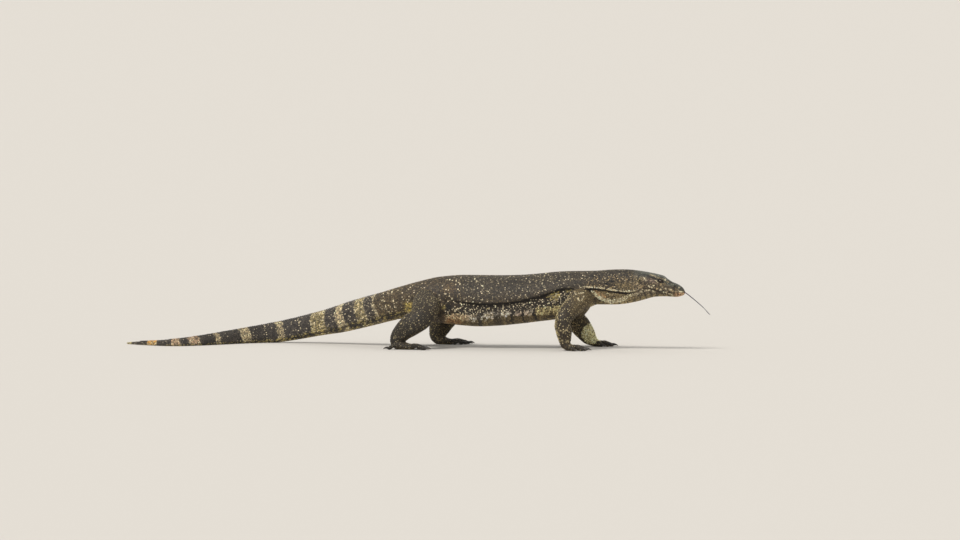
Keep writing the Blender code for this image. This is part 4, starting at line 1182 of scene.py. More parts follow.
# Bands of the tail, as (start, end, tone), and the rows of dots between them
TAIL_BANDS = (
    (-712, -691, LEMON_TONE), (-691, -646, NIGHT_TONE), (-646, -621, AMBER_TONE), (-621, -583, NIGHT_TONE),
    (-583, -565, PINK_TONE), (-565, -549, NIGHT_TONE), (-549, -530, PINK_TONE), (-530, -502, NIGHT_TONE),
    (-502, -495, PALE_TONE), (-495, -460, NIGHT_TONE), (-460, -443, PALE_TONE), (-443, -385, NIGHT_TONE),
    (-385, -366, PALE_TONE), (-366, -291, NIGHT_TONE), (-291, -251, KHAKI_TONE), (-251, -220, NIGHT_TONE),
    (-220, -199, PALE_TONE), (-199, -166, NIGHT_TONE), (-166, -141, KHAKI_TONE), (-141, -117, NIGHT_TONE),
    (-117, -111, PALE_TONE),
)
DOT_ROWS = (-410, -322, -85, -65)
# Dotted lines down the shoulder, as (x, z) of both ends
SHOULDER_ROW = (((282, 177), (281.5, 152)), ((281.5, 152), (293, 136)))
# Dark bars of the belly for the right and left side, as (place, half width, strength)
DARK_BARS = (
    ((135, 4.6, 0.75), (179, 9.5, 0.45), (213, 2.6, 0.9), (238, 2.6, 0.9), (266, 2.8, 0.9), (302, 1.2, 0.6)),
    ((118, 4.2, 0.8), (160, 8.0, 0.5), (196, 2.6, 0.9), (226, 3.0, 0.9), (262, 2.4, 0.9), (304, 1.4, 0.6)),
)
# Heights of edges between tones, as (x, z), but for the far patch, where they are (z, x)
PALE_EDGE = smooth((
    (30, 72), (55, 77), (100, 76), (130, 75), (150, 80), (200, 86), (250, 88), (290, 97), (320, 101),
    (350, 104),
))
# Yellow patches of the side, as (x, z, reach ahead, reach up)
YELLOW_PATCHES = ((313, 124, 14, 13), (344, 136, 9, 7), (48, 94, 6, 8))
# Black spots of the side, as (x and z, half sizes)
BLACK_SPOTS = (((321, 136), (7, 3.4)), ((316, 101), (5, 2.6)), ((59, 94), (6, 6)))
# Black spots of the neck on the right and left side, as (x, z), and their half sizes
NECK_SPOTS, NECK_SPOT_SIZE = (((428.5, 151.5), (442, 156.5)), ((433, 154), (446, 158))), (4.6, 2.7)
LINE_DROP = smooth((
    (350, 0.5), (380, -3.6), (409, -4.4), (451, -2.8), (493, 0.3), (512, -2.6), (530, -3),
))
THROAT_EDGE = smooth((
    (384, 141), (397, 132.5), (409, 121), (422, 112.8), (437, 109), (455, 111.8), (472, 117), (484, 121),
))
FAR_PATCH_EDGE = smooth((
    (6, 357), (15, 350), (24, 344), (34, 346), (44, 350), (50, 357), (54, 366),
))
SHOULDER_CURLS = (
    ((360, 131), (366, 127)), ((371, 119), (376, 112.5)), ((382, 124), (380, 115)),
    ((371, 129), (379, 131)),
)
# Bright dots over the hip and along the flank, as (x, z)
BRIGHT_DOTS = (
    (44, 143), (52, 156), (59, 156.5), (67, 155.5), (74, 154), (81, 151), (87, 147), (82, 136), (54, 135),
    (54, 125), (64, 119.5), (71, 115), (75, 107), (92, 102), (106, 110), (110, 119.5), (123, 116),
    (120, 107.5), (124, 154), (139, 144.5), (120, 135), (117.5, 158), (143.5, 112.5), (154.5, 131),
    (134, 78), (89, 81), (145, 87),
)


def over(colours, tone, amount):
    """The colours with a tone laid over them, by the amount at each."""
    return colours + (tone - colours) * np.clip(amount, 0, 1)[:, None]


def varied(luck, least, times=7):
    """An amount from least to 1 that differs from scale to scale."""
    return least + (1 - least) * (luck * times % 1)


def streak(x, z, start, end, reach):
    """How much the points at x and z lie on a line from start to end, from 0 to 1."""
    start, end = np.array(start, float), np.array(end, float)
    way = end - start
    share = np.clip(((x - start[0]) * way[0] + (z - start[1]) * way[1]) / way.dot(way), 0, 1)
    gap = np.hypot(x - start[0] - share * way[0], z - start[1] - share * way[1])
    return smoothstep(reach * 1.3, reach * 0.7, gap)


# Marks of the head's sides, as (x, z, half length, half height, lean), with each group's tone and strength
TAN_MARKS = (
    (544.7, 139.2, 3.2, 3.4, 0), (561.5, 151, 3, 2.4, 0), (553.6, 150, 2, 2.4, 0),
    (580.4, 135.4, 4.2, 2.4, -15), (519.6, 127.3, 3.6, 1.8, 0), (568.6, 156.6, 2.6, 1.4, -10),
    (589.3, 135, 3.6, 1.6, -10), (508, 145, 5, 3, 20),
)
PEACH_MARKS = (
    (585.2, 127.6, 2.3, 2.6, 60), (590.2, 126.6, 1.8, 2.4, 0), (596, 129.4, 3.4, 2.6, 10),
    (603, 128.4, 2.8, 2.2, 0),
)
CREAM_MARKS = (
    (524.9, 146, 3.2, 2.0, -35), (536.6, 148, 3.0, 1.6, 30), (531.4, 143.6, 1.6, 2.8, 0),
    (522, 137.6, 6.2, 2.3, -12), (535.8, 134.2, 4.8, 2.0, -25), (553.6, 136.9, 2.7, 2.5, 0),
    (556.9, 143.1, 1.8, 2.2, 0), (565, 140.8, 3.2, 2.2, -40), (574.7, 139.2, 3.2, 2.2, 20),
    (560.9, 131.2, 2.2, 2.6, 30), (566.2, 132.1, 2.1, 2.6, 30), (573.5, 128.8, 2.5, 2.2, -20),
    (578.7, 126.1, 1.7, 2.5, 20), (599.8, 134.2, 5.2, 1.8, 5), (595.8, 143.5, 1.6, 1.6, 0),
    (506.7, 133.4, 4.2, 2.4, -30), (509.5, 138.2, 1.8, 2.2, 0), (514.3, 133.4, 2.2, 1.7, -20),
    (543.6, 157.2, 4.5, 1.3, -46), (514.4, 163, 4.2, 1.1, -52), (517.6, 159.4, 1.9, 1.8, 0),
    (562.1, 160.4, 1.9, 1.8, 0), (530.1, 171.3, 2.4, 1.3, 0), (497.3, 128.3, 4.0, 1.8, 15),
)
HEAD_MARKS = (
    (TAN_MARKS, TAN_TONE, 0.75), (PEACH_MARKS, PEACH_TONE, 0.9), (CREAM_MARKS, CREAM_TONE * 1.05, 0.92),
)

# How far the marks of the jaw lie ahead, by their place
MARK_SHIFT = smooth(((490, 3.6), (528, 3.6), (540, 2.2), (556, 1.2), (604, 0.9)))
# Dark lines between the plates of the jaw, as (x, z of one end, x, z of the other, half width)
HEAD_CRACKS = (
    (529, 141.8, 541, 137.4, 1.1), (541, 137.4, 553, 133, 1.1), (551.5, 147, 551, 138.5, 0.9),
    (570.5, 138, 575, 129.5, 1.0), (561.5, 136.5, 563, 129.5, 0.8), (584.5, 131.5, 586.5, 126, 0.9),
    (593.5, 131.5, 595, 126, 0.8), (541, 149.5, 544, 143, 0.8), (513, 142, 525, 139.5, 0.9),
    (509.6, 155.5, 509.6, 152.5, 1.8), (572, 156.5, 579, 153.5, 1.0), (512, 136.5, 519, 131.5, 0.9),
)


# Streaks of the head, as (one end, other end, half width, tone, share of the scales, strength)
HEAD_STREAKS = (
    ((529, 171.8), (541, 168), 1.9, BROW_TONE, 0.85, 0.75),
    ((541, 168), (558, 163), 1.9, BROW_TONE, 0.85, 0.75),
    ((523, 170), (535, 166.5), 1.7, INK_TONE * 0.8, 1, 0.9),
    ((535, 166.5), (550, 160), 2.2, INK_TONE * 0.8, 1, 0.9),
)


def oval(x, z, place, size, lean):
    """How much the points at x and z lie in an oval of these half sizes that leans by the degrees."""
    c, s = math.cos(math.radians(lean)), math.sin(math.radians(lean))
    ahead, above = x - place[0], z - place[1]
    long, high = (ahead * c + above * s) / size[0], (above * c - ahead * s) / size[1]
    return smoothstep(1.2, 0.8, np.hypot(long, high))


class Spots:
    """The points to be coloured, with what the markings go by.

    Luck and shade are drawn for each scale; dot is below 1 only in scales that no two of touch.
    """

    def __init__(self, places, normals, facts, luck):
        self.places, self.normals = places, normals
        self.region, self.digit, self.s, self.w = (facts[:, i] for i in range(4))
        self.luck, self.shade, self.dot = luck
        self.z, self.right = places[:, 2], (self.w < 0).astype(int)
        top, bottom = back(self.s), belly(self.s)
        self.t = np.clip((top - self.z) / np.maximum(top - bottom, 0.5), 0, 1)
        self.wave = {length: ripple(places, length, length) for length in (6, 14, 45)}


def trunk_colours(spot):
    """The dark back and sides with their rows of dots."""
    s, z, t, luck, dot = spot.s, spot.z, spot.t, spot.luck, spot.dot
    middle, broad = spot.wave[14], spot.wave[45]
    colours = BACK_TONE + (FLANK_TONE - BACK_TONE) * smoothstep(0.1, 0.6, t)[:, None]
    colours = colours * (1 + 0.08 * broad + 0.08 * middle)[:, None]
    below = fold_line(s) - z
    under = smoothstep(-1, 5, below) * smoothstep(38, 60, s)
    colours = over(colours, LOW_TONE, under * 0.8)
    row = np.cos(TURN * (s + 2.5 * broad + 0.15 * (z - 120)) / 16.5)
    chance = 0.38 + 0.50 * smoothstep(0.55, 0.9, row) * smoothstep(0.02, 0.15, t)
    chance = np.minimum(chance + 0.30 * smoothstep(0.3, 0.7, t), 0.98)
    colours = over(colours, HIP_TONE, between(s, -140, -90, 60, 115) * 0.5)
    colours = over(colours, INK_TONE, (luck > 0.78 - 0.16 * under) * 0.62)
    colours = over(colours, KHAKI_TONE, (luck < 0.10) * (1 - under) * 0.35)
    colours = over(colours, DOT_TONE, (dot < chance) * varied(luck, 0.25))
    colours = over(colours, LOW_DOT_TONE, under * ((luck < 0.2) | (dot < 0.8)) * varied(luck, 0.4, 9))
    hip = np.hypot(spot.places[:, 0] - 62, 1.25 * (z - 138)) + 2 * middle
    colours = over(colours, HIP_PATCH_TONE, smoothstep(19, 10, hip) * (dot == 1) * 0.5)
    bright = np.max([np.hypot(spot.places[:, 0] - px, z - pz) < 1.7 for px, pz in BRIGHT_DOTS], axis=0)
    colours = over(colours, CREAM_TONE * 1.04, bright * 0.95)
    # painted shadow: a black line along the crease just under the long fold of skin, where the fold's shadow
    # falls
    crease = bump(below, 2.2 + 0.6 * middle, 2.1) * between(s, 60, 84, 350, 380)
    colours = over(colours, BLACK_TONE, smoothstep(0.3, 0.6, crease) * (dot > 0.12) * 0.92)
    for start, end in SHOULDER_ROW:
        dotted = np.sin(TURN * z / 7.5 + spot.right) > -0.25
        colours = over(colours, CREAM_TONE, streak(s, z, start, end, 1.3) * dotted * (luck < 0.85) * 0.9)
    for place, size in BLACK_SPOTS:
        colours = over(colours, BLACK_TONE, oval(s, z, place, size, 0) * 0.9)
    chest = between(s, 352, 362, 400, 412) * smoothstep(-4, -10, z - fold_line(s))
    colours = over(colours, BREAST_TONE, chest * (dot > 0.3) * 0.7)
    colours = over(colours, SHOULDER_TONE, streak(s, z, (381, 131), (392, 122.5), 2.2) * 0.8)
    return belly_colours(spot, colours, below)


def belly_colours(spot, colours, below):
    """The pale, barred belly, laid over the trunk's colours."""
    s, z, t, luck = spot.s, spot.z, spot.t, spot.luck
    fine, middle = spot.wave[6], spot.wave[14]
    on_trunk = between(s, 36, 58, 345, 372)
    edge = PALE_EDGE(s) + 4.0 * middle + 3.5 * fine
    ground = smoothstep(0.9, -0.9, (z - edge) / 3.5 + 2.2 * (luck - 0.5)) * on_trunk
    tone = over(np.tile(WHITE_TONE, (len(s), 1)), GROIN_TONE, smoothstep(118, 92, s) * 0.75)
    tone = over(tone, MAUVE_TONE * 1.3, bump(s, 236, 20) * 0.75)
    tone = over(tone, YELLOW_TONE * 1.25, smoothstep(256, 276, s) * 0.6)
    cloud = smoothstep(0.1, 0.6, middle - 0.9 * fine) * smoothstep(90, 120, s)
    tone = over(tone, OLIVE_TONE * 0.8, cloud * 0.6)
    colours = over(colours, tone, ground * varied(luck, 0.75, 5))
    above = z - edge + 11 + 4 * fine + 6 * smoothstep(250, 300, s)
    deep = smoothstep(0.5, -0.5, above / 5 + 1.2 * (luck - 0.5))
    low_tone = over(np.tile(OLIVE_TONE * 0.92, (len(s), 1)), LOW_GROIN_TONE, smoothstep(100, 70, s) * 0.8)
    low_tone = over(low_tone, INK_TONE, smoothstep(0.15, 0.5, middle + 0.5 * fine) * (luck > 0.35) * 0.55)
    colours = over(colours, low_tone, ground * deep * 0.88)
    colours = over(colours, BELLY_TONE, on_trunk * smoothstep(0.93, 1.0, t) * 0.7)
    for side, bars in enumerate(DARK_BARS):
        for place, half, strength in bars:
            wide = half + 2.0 * fine + 1.6 * (luck - 0.5)
            bar = (np.abs(s - place + 3.0 * middle - 0.15 * (z - 80)) < wide) & (z < edge + 6)
            colours = over(colours, INK_TONE, bar * (spot.right == 1 - side) * on_trunk * strength)
    for x, height, long, high in YELLOW_PATCHES:
        patch = bump(s, x, long) * bump(z, height, high) * (below > 3) + 0.25 * fine + 0.2 * middle
        colours = over(colours, YELLOW_TONE, smoothstep(0.35, 0.6, patch) * (luck > 0.25) * 0.8)
    crossing = np.cos(TURN * (s + 3 * middle) / 22)
    low = smoothstep(0.9, 1.0, t) * smoothstep(40, 60, s)
    return over(colours, INK_TONE, low * smoothstep(0.45, 0.75, crossing) * 0.6)


def tail_colours(spot, colours):
    """The tail's bands, laid over the trunk's colours behind the hips."""
    slope = slope_of_middle(spot.s)
    middle = (back(spot.s) + belly(spot.s)) / 2
    s = spot.s + 1.5 * slope * (spot.z - middle) + 1.5 * spot.wave[14] + 0.9 * spot.wave[6]
    on_tail = spot.s < -90 + 6 * spot.wave[14]
    root = bump(spot.s, -75, 48) * (spot.dot == 1) * (spot.luck > 0.15)
    colours = over(colours, TAIL_ROOT_TONE, root * 0.55)
    banded, ahead, rim = colours.copy(), smoothstep(-260, -110, spot.s), np.zeros(len(s))
    for start, end, tone in TAIL_BANDS:
        inside = ((s >= start) & (s < end)).astype(float)
        dark = tone is NIGHT_TONE
        mark = tone * (1 - 0.12 * spot.wave[45])[:, None]
        banded = over(banded, mark, inside * np.where(dark, 1 - 0.25 * ahead, 1 - 0.15 * ahead))
        banded = over(banded, DOT_TONE, inside * dark * (spot.dot < 0.3 + 0.5 * ahead) * 0.85)
        banded = over(banded, NIGHT_TONE, inside * (not dark) * (spot.luck > 0.76) * 0.6)
        banded = over(banded, CREAM_TONE, inside * (not dark) * (spot.luck < 0.24) * 0.75)
        if not dark:
            rim = np.maximum(rim, np.maximum(bump(s, start, 1.6), bump(s, end, 1.6)))
    banded = over(banded, CREAM_TONE, rim * (spot.luck < 0.4) * 0.8)
    colours = np.where(on_tail[:, None], banded, colours)
    dots = np.max([bump(s, row, 1.7) for row in DOT_ROWS], axis=0)
    colours = over(colours, CREAM_TONE, (dots > 0.5) * (spot.luck < 0.5) * 0.85 * (spot.s < -50))
    low = smoothstep(0.74, 0.86, spot.t + 0.05 * spot.wave[6]) * (spot.s < -30)
    dash = spot.wave[6] + 0.6 * spot.wave[14] > 0.15
    colours = over(colours, YELLOW_TONE, low * dash * 0.75 * (spot.luck > 0.2))
    colours = over(colours, INK_TONE, low * ~dash * 0.55 * (spot.t < 0.95))
    colours = over(colours, BELLY_TONE, smoothstep(0.95, 1.0, spot.t) * (spot.s < -30) * 0.45)
    patch = bump(spot.s, -29, 13) * bump(spot.z, 92, 18) + 0.2 * spot.wave[6]
    return over(colours, VENT_TONE, smoothstep(0.4, 0.75, patch) * (spot.luck > 0.2) * 0.9)


def neck_colours(spot, colours):
    """The neck and throat, laid over the trunk's colours."""
    s, z, luck = spot.s, spot.z, spot.luck
    fine, middle = spot.wave[6], spot.wave[14]
    on_neck = between(s, 372, 392, 498, 516)
    below = fold_line(s) - z
    colours = over(colours, NECK_TONE, on_neck * smoothstep(0.12, 0.3, spot.t) * (spot.dot == 1) * 0.6)
    colours = over(colours, INK_TONE, on_neck * (luck > 0.72) * 0.75)
    colours = over(colours, TAN_TONE, on_neck * (luck < 0.2) * smoothstep(0.08, 0.2, spot.t) * 0.8)
    cheek = bump(s, 474, 26) * bump(z, 146, 10) + 0.15 * fine
    colours = over(colours, CHEEK_TONE, smoothstep(0.3, 0.7, cheek) * (spot.dot == 1) * 0.7)
    throat = smoothstep(0, 4, below) * on_neck
    colours = over(colours, THROAT_TONE, throat * 0.8)
    rear = streak(s, z, (404, 130), (424, 116), 7) * (z > THROAT_EDGE(s))
    colours = over(colours, JOWL_TONE, rear * on_neck * (luck < 0.8) * 0.6)
    colours = over(colours, INK_TONE, throat * smoothstep(0.15, 0.5, middle + 0.5 * fine) * (1 - rear) * 0.55)
    colours = over(colours, CREAM_TONE, throat * (luck < 0.16) * 0.8)
    deep = throat * (z < THROAT_EDGE(s) - 3) * between(s, 384, 396, 440, 470)
    colours = over(colours, LOW_TONE, deep * 0.45)
    drop = below - LINE_DROP(s)
    line = bump(drop, 0.8 * fine, 1.9) * between(s, 366, 378, 498, 516)
    colours = over(colours, CREAM_TONE * 1.08, (line > 0.42) * (luck < 0.9) * 0.95)
    shadow = bump(drop, 5.2, 2.4) * (1 - 0.4 * bump(s, 425, 14)) * on_neck
    colours = over(colours, BLACK_TONE, smoothstep(0.3, 0.55, shadow) * 0.85)
    pale = streak(s + 2 * fine, z, (478, 123), (511, 131), 3.8)
    colours = over(colours, CREAM_TONE * 1.1, pale * (luck < 0.88) * 0.9)
    # painted shadow: a black patch in the hollow under the fold at the shoulder
    colours = over(colours, BLACK_TONE, oval(s, z, (389, 135.5), (9, 4.4), 0) * 0.9)
    under = smoothstep(0.86, 0.97, spot.t) * on_neck
    colours = over(colours, BELLY_TONE * 1.08, under * 0.8)
    crossing = smoothstep(0.5, 0.8, np.cos(TURN * (s + 3 * middle) / 19))
    colours = over(colours, INK_TONE, under * crossing * 0.6)
    rim = bump(z - THROAT_EDGE(s), fine, 4.8) * between(s, 391, 398, 466, 482)
    colours = over(colours, CREAM_TONE * 1.1, (rim > 0.4) * (luck < 0.88) * 0.95)
    for side, places in enumerate(NECK_SPOTS):
        for place in places:
            mark = oval(spot.places[:, 0], z, place, NECK_SPOT_SIZE, 8)
            colours = over(colours, BLACK_TONE * 0.7, mark * (spot.right == 1 - side))
    return colours


def head_colours(spot, colours):
    """The head's plates and marks, laid over the neck's colours."""
    x, z, t, luck, dot = spot.places[:, 0], spot.z, spot.t, spot.luck, spot.dot
    fine, middle = spot.wave[6], spot.wave[14]
    on_head = smoothstep(480, 512, x + 3 * middle)
    side = over(np.tile(TEMPLE_TONE, (len(x), 1)), MAUVE_TONE, bump(x, 534, 15) * bump(z, 159, 9) * 1.2)
    side = over(side, NAPE_TONE, bump(x, 503, 11) * bump(z, 161, 9) * 1.2)
    side = side * (1 + 0.12 * middle + 0.10 * fine)[:, None]
    side = over(side, INK_TONE, (luck > 0.8) * 0.6)
    side = over(side, DOT_TONE, (dot < 0.6) * 0.6)
    colours = over(colours, side, on_head * smoothstep(0.02, 0.2, t))
    crown = smoothstep(-15, -6, z - back(x) + 3 * fine) * on_head
    snout = smoothstep(566, 582, x) * smoothstep(140, 146, z + 2 * fine)
    above = np.maximum(crown, snout)
    colours = over(colours, CROWN_TONE * (1 + 0.12 * middle)[:, None], above * 0.92)
    colours = over(colours, CROWN_DOT_TONE, above * (dot < 0.8) * 0.6)
    colours = over(colours, INK_TONE, above * (luck > 0.85) * 0.55)
    mouth = mouth_line(x)
    near = smoothstep(13, 8, np.abs(z - mouth - 2.5 - 2 * middle)) * smoothstep(504, 516, x)
    near = near * (1 - 0.6 * smoothstep(585, 596, x) * (z > mouth + 3))
    colours = over(colours, LIP_TONE, near * 0.6)
    colours = over(colours, TAN_TONE, near * (luck < 0.22) * 0.55)
    below = smoothstep(1, -2, z - mouth + 7) * on_head
    colours = over(colours, BELLY_TONE, below * smoothstep(0.80, 0.95, t) * 0.85)
    jaw = np.cos(TURN * (x + 3 * middle + 2 * fine) / 14)
    colours = over(colours, INK_TONE, below * smoothstep(0.4, 0.7, jaw) * 0.55)
    for start, end, reach, tone, share, strength in HEAD_STREAKS:
        colours = over(colours, tone, streak(x, z, start, end, reach) * (luck < share) * strength)
    arc = streak(x, z, (502, 171), (505, 169), 1.6) + streak(x, z, (505, 169), (500.5, 160), 1.1)
    colours = over(colours, INK_TONE, arc * 0.8)
    tip = smoothstep(580, 594, x + 2 * fine) * smoothstep(133, 130, z + 1.5 * fine)
    colours = over(colours, TIP_TONE, tip * varied(luck, 0.5))
    for places, tone, strength in HEAD_MARKS:
        for px, pz, long, high, lean in places:
            px = px + MARK_SHIFT(px)
            mark = oval(x + 0.8 * fine, z + 0.8 * middle, (px, pz), (long, high), lean)
            colours = over(colours, tone, mark * on_head * strength)
    for x0, z0, x1, z1, reach in HEAD_CRACKS:
        crack = streak(x + 0.6 * fine, z + 0.6 * middle, (x0, z0), (x1, z1), reach)
        colours = over(colours, CRACK_TONE, crack * on_head * 0.8)
    eyes = [place_frame(*EYE_PLACE, side) for side in (-1, 1)]
    lids = np.min([opening(spot.places, eye, LID_OPENING) for eye in eyes], axis=0)
    colours = over(colours, LID_TONE, smoothstep(1.7, 1.35, lids) * 0.85)
    return over(colours, LID_RIM_TONE, bump(lids, 2.1, 0.16) * (luck > 0.3) * 0.5)


def limb_colours(spot):
    """The limbs, toes and soles."""
    z, luck, dot, normal = spot.z, spot.luck, spot.dot, spot.normals
    fine, middle, broad = spot.wave[6], spot.wave[14], spot.wave[45]
    outwards = normal[:, 1] * np.where(spot.region % 2 == 1, -1, 1)
    shaft, arm = spot.digit == 0, spot.region <= 2
    colours = LIMB_TONE * (1 + 0.08 * broad + 0.12 * middle)[:, None]
    colours = over(colours, INK_TONE, (luck > 0.84) * 0.4)
    colours = over(colours, LIMB_DOT_TONE, (dot < 0.92 + 0.1 * middle) * varied(luck, 0.6))
    inner = smoothstep(-0.05, -0.6, outwards + 0.3 * middle) * shaft
    colours = over(colours, INNER_LIMB_TONE, inner * ((luck < 0.2) | (dot < 1)) * 0.7)
    behind = smoothstep(0.4, 0.75, -normal[:, 0] + 0.2 * fine) * arm * smoothstep(14, 24, z)
    colours = over(colours, REAR_LIMB_TONE, behind * (luck < 0.62) * 0.85)
    edge = FAR_PATCH_EDGE(z) + 1.2 * fine
    far_patch = (spot.region == 2) * shaft * (spot.places[:, 0] > edge) * (z > 6) * (z < 53)
    colours = over(colours, FAR_PATCH_TONE, far_patch * (luck > 0.12) * 0.97)
    breast = arm * smoothstep(80, 92, z) * smoothstep(356, 366, spot.places[:, 0] + 2 * middle)
    colours = over(colours, BREAST_TONE, breast * (dot > 0.3) * 0.75)
    for start, end in SHOULDER_CURLS:
        colours = over(colours, CREAM_TONE, streak(spot.places[:, 0], z, start, end, 1.2) * arm * 0.9)
    colours = over(colours, TOE_TONE, ~shaft * 0.7)
    colours = over(colours, LIMB_DOT_TONE, ~shaft * (dot < 0.6) * 0.6)
    leg = (1 - arm) * (0.12 + 0.16 * smoothstep(70, 45, z) * (spot.region == 3))
    colours = colours * (1 - leg)[:, None]
    return over(colours, SOLE_TONE, smoothstep(-0.6, -0.9, normal[:, 2]) * 0.5)


def marked(places, normals, facts, luck):
    """The colour of each point of the animal, by where it lies."""
    spot = Spots(places, normals, facts, luck)
    colours = head_colours(spot, neck_colours(spot, tail_colours(spot, trunk_colours(spot))))
    on_limb = (spot.region > 0)[:, None]
    colours = np.where(on_limb, limb_colours(spot), colours)
    return linear(colours * (0.62 + 0.68 * spot.shade)[:, None])


def material(name, roughness, coat=0.0, bump_depth=0.00012, grain=900.0, spread=0.12):
    """A matt or glossy surface coloured by its markings, with fine grain in colour, gloss and relief."""
    made = bpy.data.materials.new(name)
    made.use_nodes = True
    nodes, links = made.node_tree.nodes, made.node_tree.links
    shader = nodes["Principled BSDF"]

    def add(kind, **values):
        node = nodes.new("ShaderNode" + kind)
        for entry, value in values.items():
            node.inputs[entry.replace("_", " ")].default_value = value
        return node

    marks, place, mixed = add("Attribute"), add("TexCoord"), add("Mix")
    marks.attribute_name = "marking"
    mixed.data_type, mixed.blend_type = "RGBA", "MULTIPLY"
    mixed.inputs["Factor"].default_value = 1
    noise = add("TexNoise", Scale=grain, Detail=3)
    tint = add("MapRange", To_Min=1 - spread, To_Max=1 + spread)
    gloss = add("MapRange", To_Min=roughness - 0.1, To_Max=roughness + 0.1)
    relief = add("Bump", Distance=bump_depth, Strength=0.5)
    for source, leaving, target, entry in (
        (place, "Object", noise, "Vector"), (noise, "Fac", tint, "Value"), (marks, "Color", mixed, "A"),
        (tint, "Result", mixed, "B"), (mixed, "Result", shader, "Base Color"), (noise, "Fac", gloss, "Value"),
        (gloss, "Result", shader, "Roughness"), (noise, "Fac", relief, "Height"),
        (relief, "Normal", shader, "Normal"),
    ):
        links.new(source.outputs[leaving], target.inputs[entry])
    shader.inputs["Coat Weight"].default_value = coat
    shader.inputs["Coat Roughness"].default_value = 0.05
    return made


def dressed(name, mesh, surface, slot, *nodes):
    """An object of the mesh with its material, riding on the body and standing for the nodes."""
    obj = bpy.data.objects.new(name, mesh)
    bpy.context.scene.collection.objects.link(obj)
    mesh.materials.append(surface)
    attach(obj, "root")
    if nodes:
        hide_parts(*nodes)
    return obj


def put_colours(mesh, colours):
    layer = mesh.color_attributes.new("marking", "FLOAT_COLOR", "POINT")
    opaque = np.column_stack([colours, np.ones(len(colours))])
    layer.data.foreach_set("color", opaque.astype(np.float32).ravel())


def put_map(mesh, places):
    """Places on the unrolled skin, one for each of the mesh's points."""
    layer = mesh.uv_layers.new(name="OFBake")
    corners = np.zeros(len(mesh.loops), np.int32)
    mesh.loops.foreach_get("vertex_index", corners)
    layer.data.foreach_set("uv", places[corners].astype(np.float32).ravel())


SKIN = material("skin", 0.55)
HEAD = material("head_skin", 0.48)
TAIL = material("tail_skin", 0.5)
EYE = material("eye", 0.25, coat=0.35, bump_depth=0.0, grain=1500.0)
EYE.node_tree.nodes["Principled BSDF"].inputs["Specular IOR Level"].default_value = 0.3
CLAW = material("claw", 0.38, coat=0.15, bump_depth=0.00005, grain=1500.0)
TONGUE = material("tongue", 0.4, coat=0.3, bump_depth=0.00004)


# The skin between the scales is darkened: partly its own darker colour, partly painted shade in the grooves
# between them
BETWEEN_SCALES = 0.28     # how dark the skin is between the scales


def dress_skin():
    """The one skin under the scales."""
    luck = [np.full(len(skin_points), value) for value in (0.5, 0.5, 1.0)]
    # partly the skin's own darker colour, partly painted shade in the grooves between the scales
    colours = marked(skin_points, skin_normals, skin_facts, luck) * BETWEEN_SCALES
    move_vertices(skin_mesh, to_frame(skin_points))
    put_colours(skin_mesh, colours)
    flesh = ["torso", "neck", "head", "lower_jaw", "tail_base", "tail_middle", "tail_rear", "tail_tip"]
    for side in ("right", "left"):
        flesh += [f"{part}_{side}" for part in ("arm", "forearm", "hand", "thigh", "shank", "foot")]
    dressed("skin", skin_mesh, SKIN, "skin", *flesh)


def unrolled(seeds):
    """Where each scale's root lies on an even unrolling of its piece of skin, from 0 to 1 each way."""
    places = np.zeros((len(seeds), 2))
    shaft = seeds["digit"] == 0
    rows = np.where(shaft, 0.0, 0.66 + 0.062 * (seeds["digit"] - 1))
    room = np.where(shaft, 0.62 if (~shaft).any() else 0.95, 0.05)
    for digit in np.unique(seeds["digit"]):
        mine = seeds["digit"] == digit
        for column, what in ((0, "along"), (1, "around")):
            values = seeds[what][mine]
            low, high = values.min(), values.max()
            places[mine, column] = (values - low) / max(high - low, 1e-3)
    return np.stack([0.02 + 0.95 * places[:, 0], 0.02 + rows + room * places[:, 1]], -1)


# Pieces of the coat, as (name, slot, region, from, to, side)
COAT_PIECES = (
    ("scales_tail_rear", "tail_skin", 0, -720, -300, 0), ("scales_tail_front", "tail_skin", 0, -300, -100, 0),
    ("scales_hip_right", "skin", 0, -100, 60, -1), ("scales_hip_left", "skin", 0, -100, 60, 1),
    ("scales_flank_right", "skin", 0, 60, 215, -1), ("scales_flank_left", "skin", 0, 60, 215, 1),
    ("scales_chest_right", "skin", 0, 215, 392, -1), ("scales_chest_left", "skin", 0, 215, 392, 1),
    ("scales_neck", "skin", 0, 392, 488, 0), ("scales_head", "head_skin", 0, 488, 640, 0),
    ("scales_arm_right", "skin", 1, -9, 999, 0), ("scales_arm_left", "skin", 2, -9, 999, 0),
    ("scales_leg_right", "skin", 3, -9, 999, 0), ("scales_leg_left", "skin", 4, -9, 999, 0),
)
SURFACES = {"skin": SKIN, "head_skin": HEAD, "tail_skin": TAIL}
DOT_GROWTH = 1.3          # how much larger the granules of a pale dot are


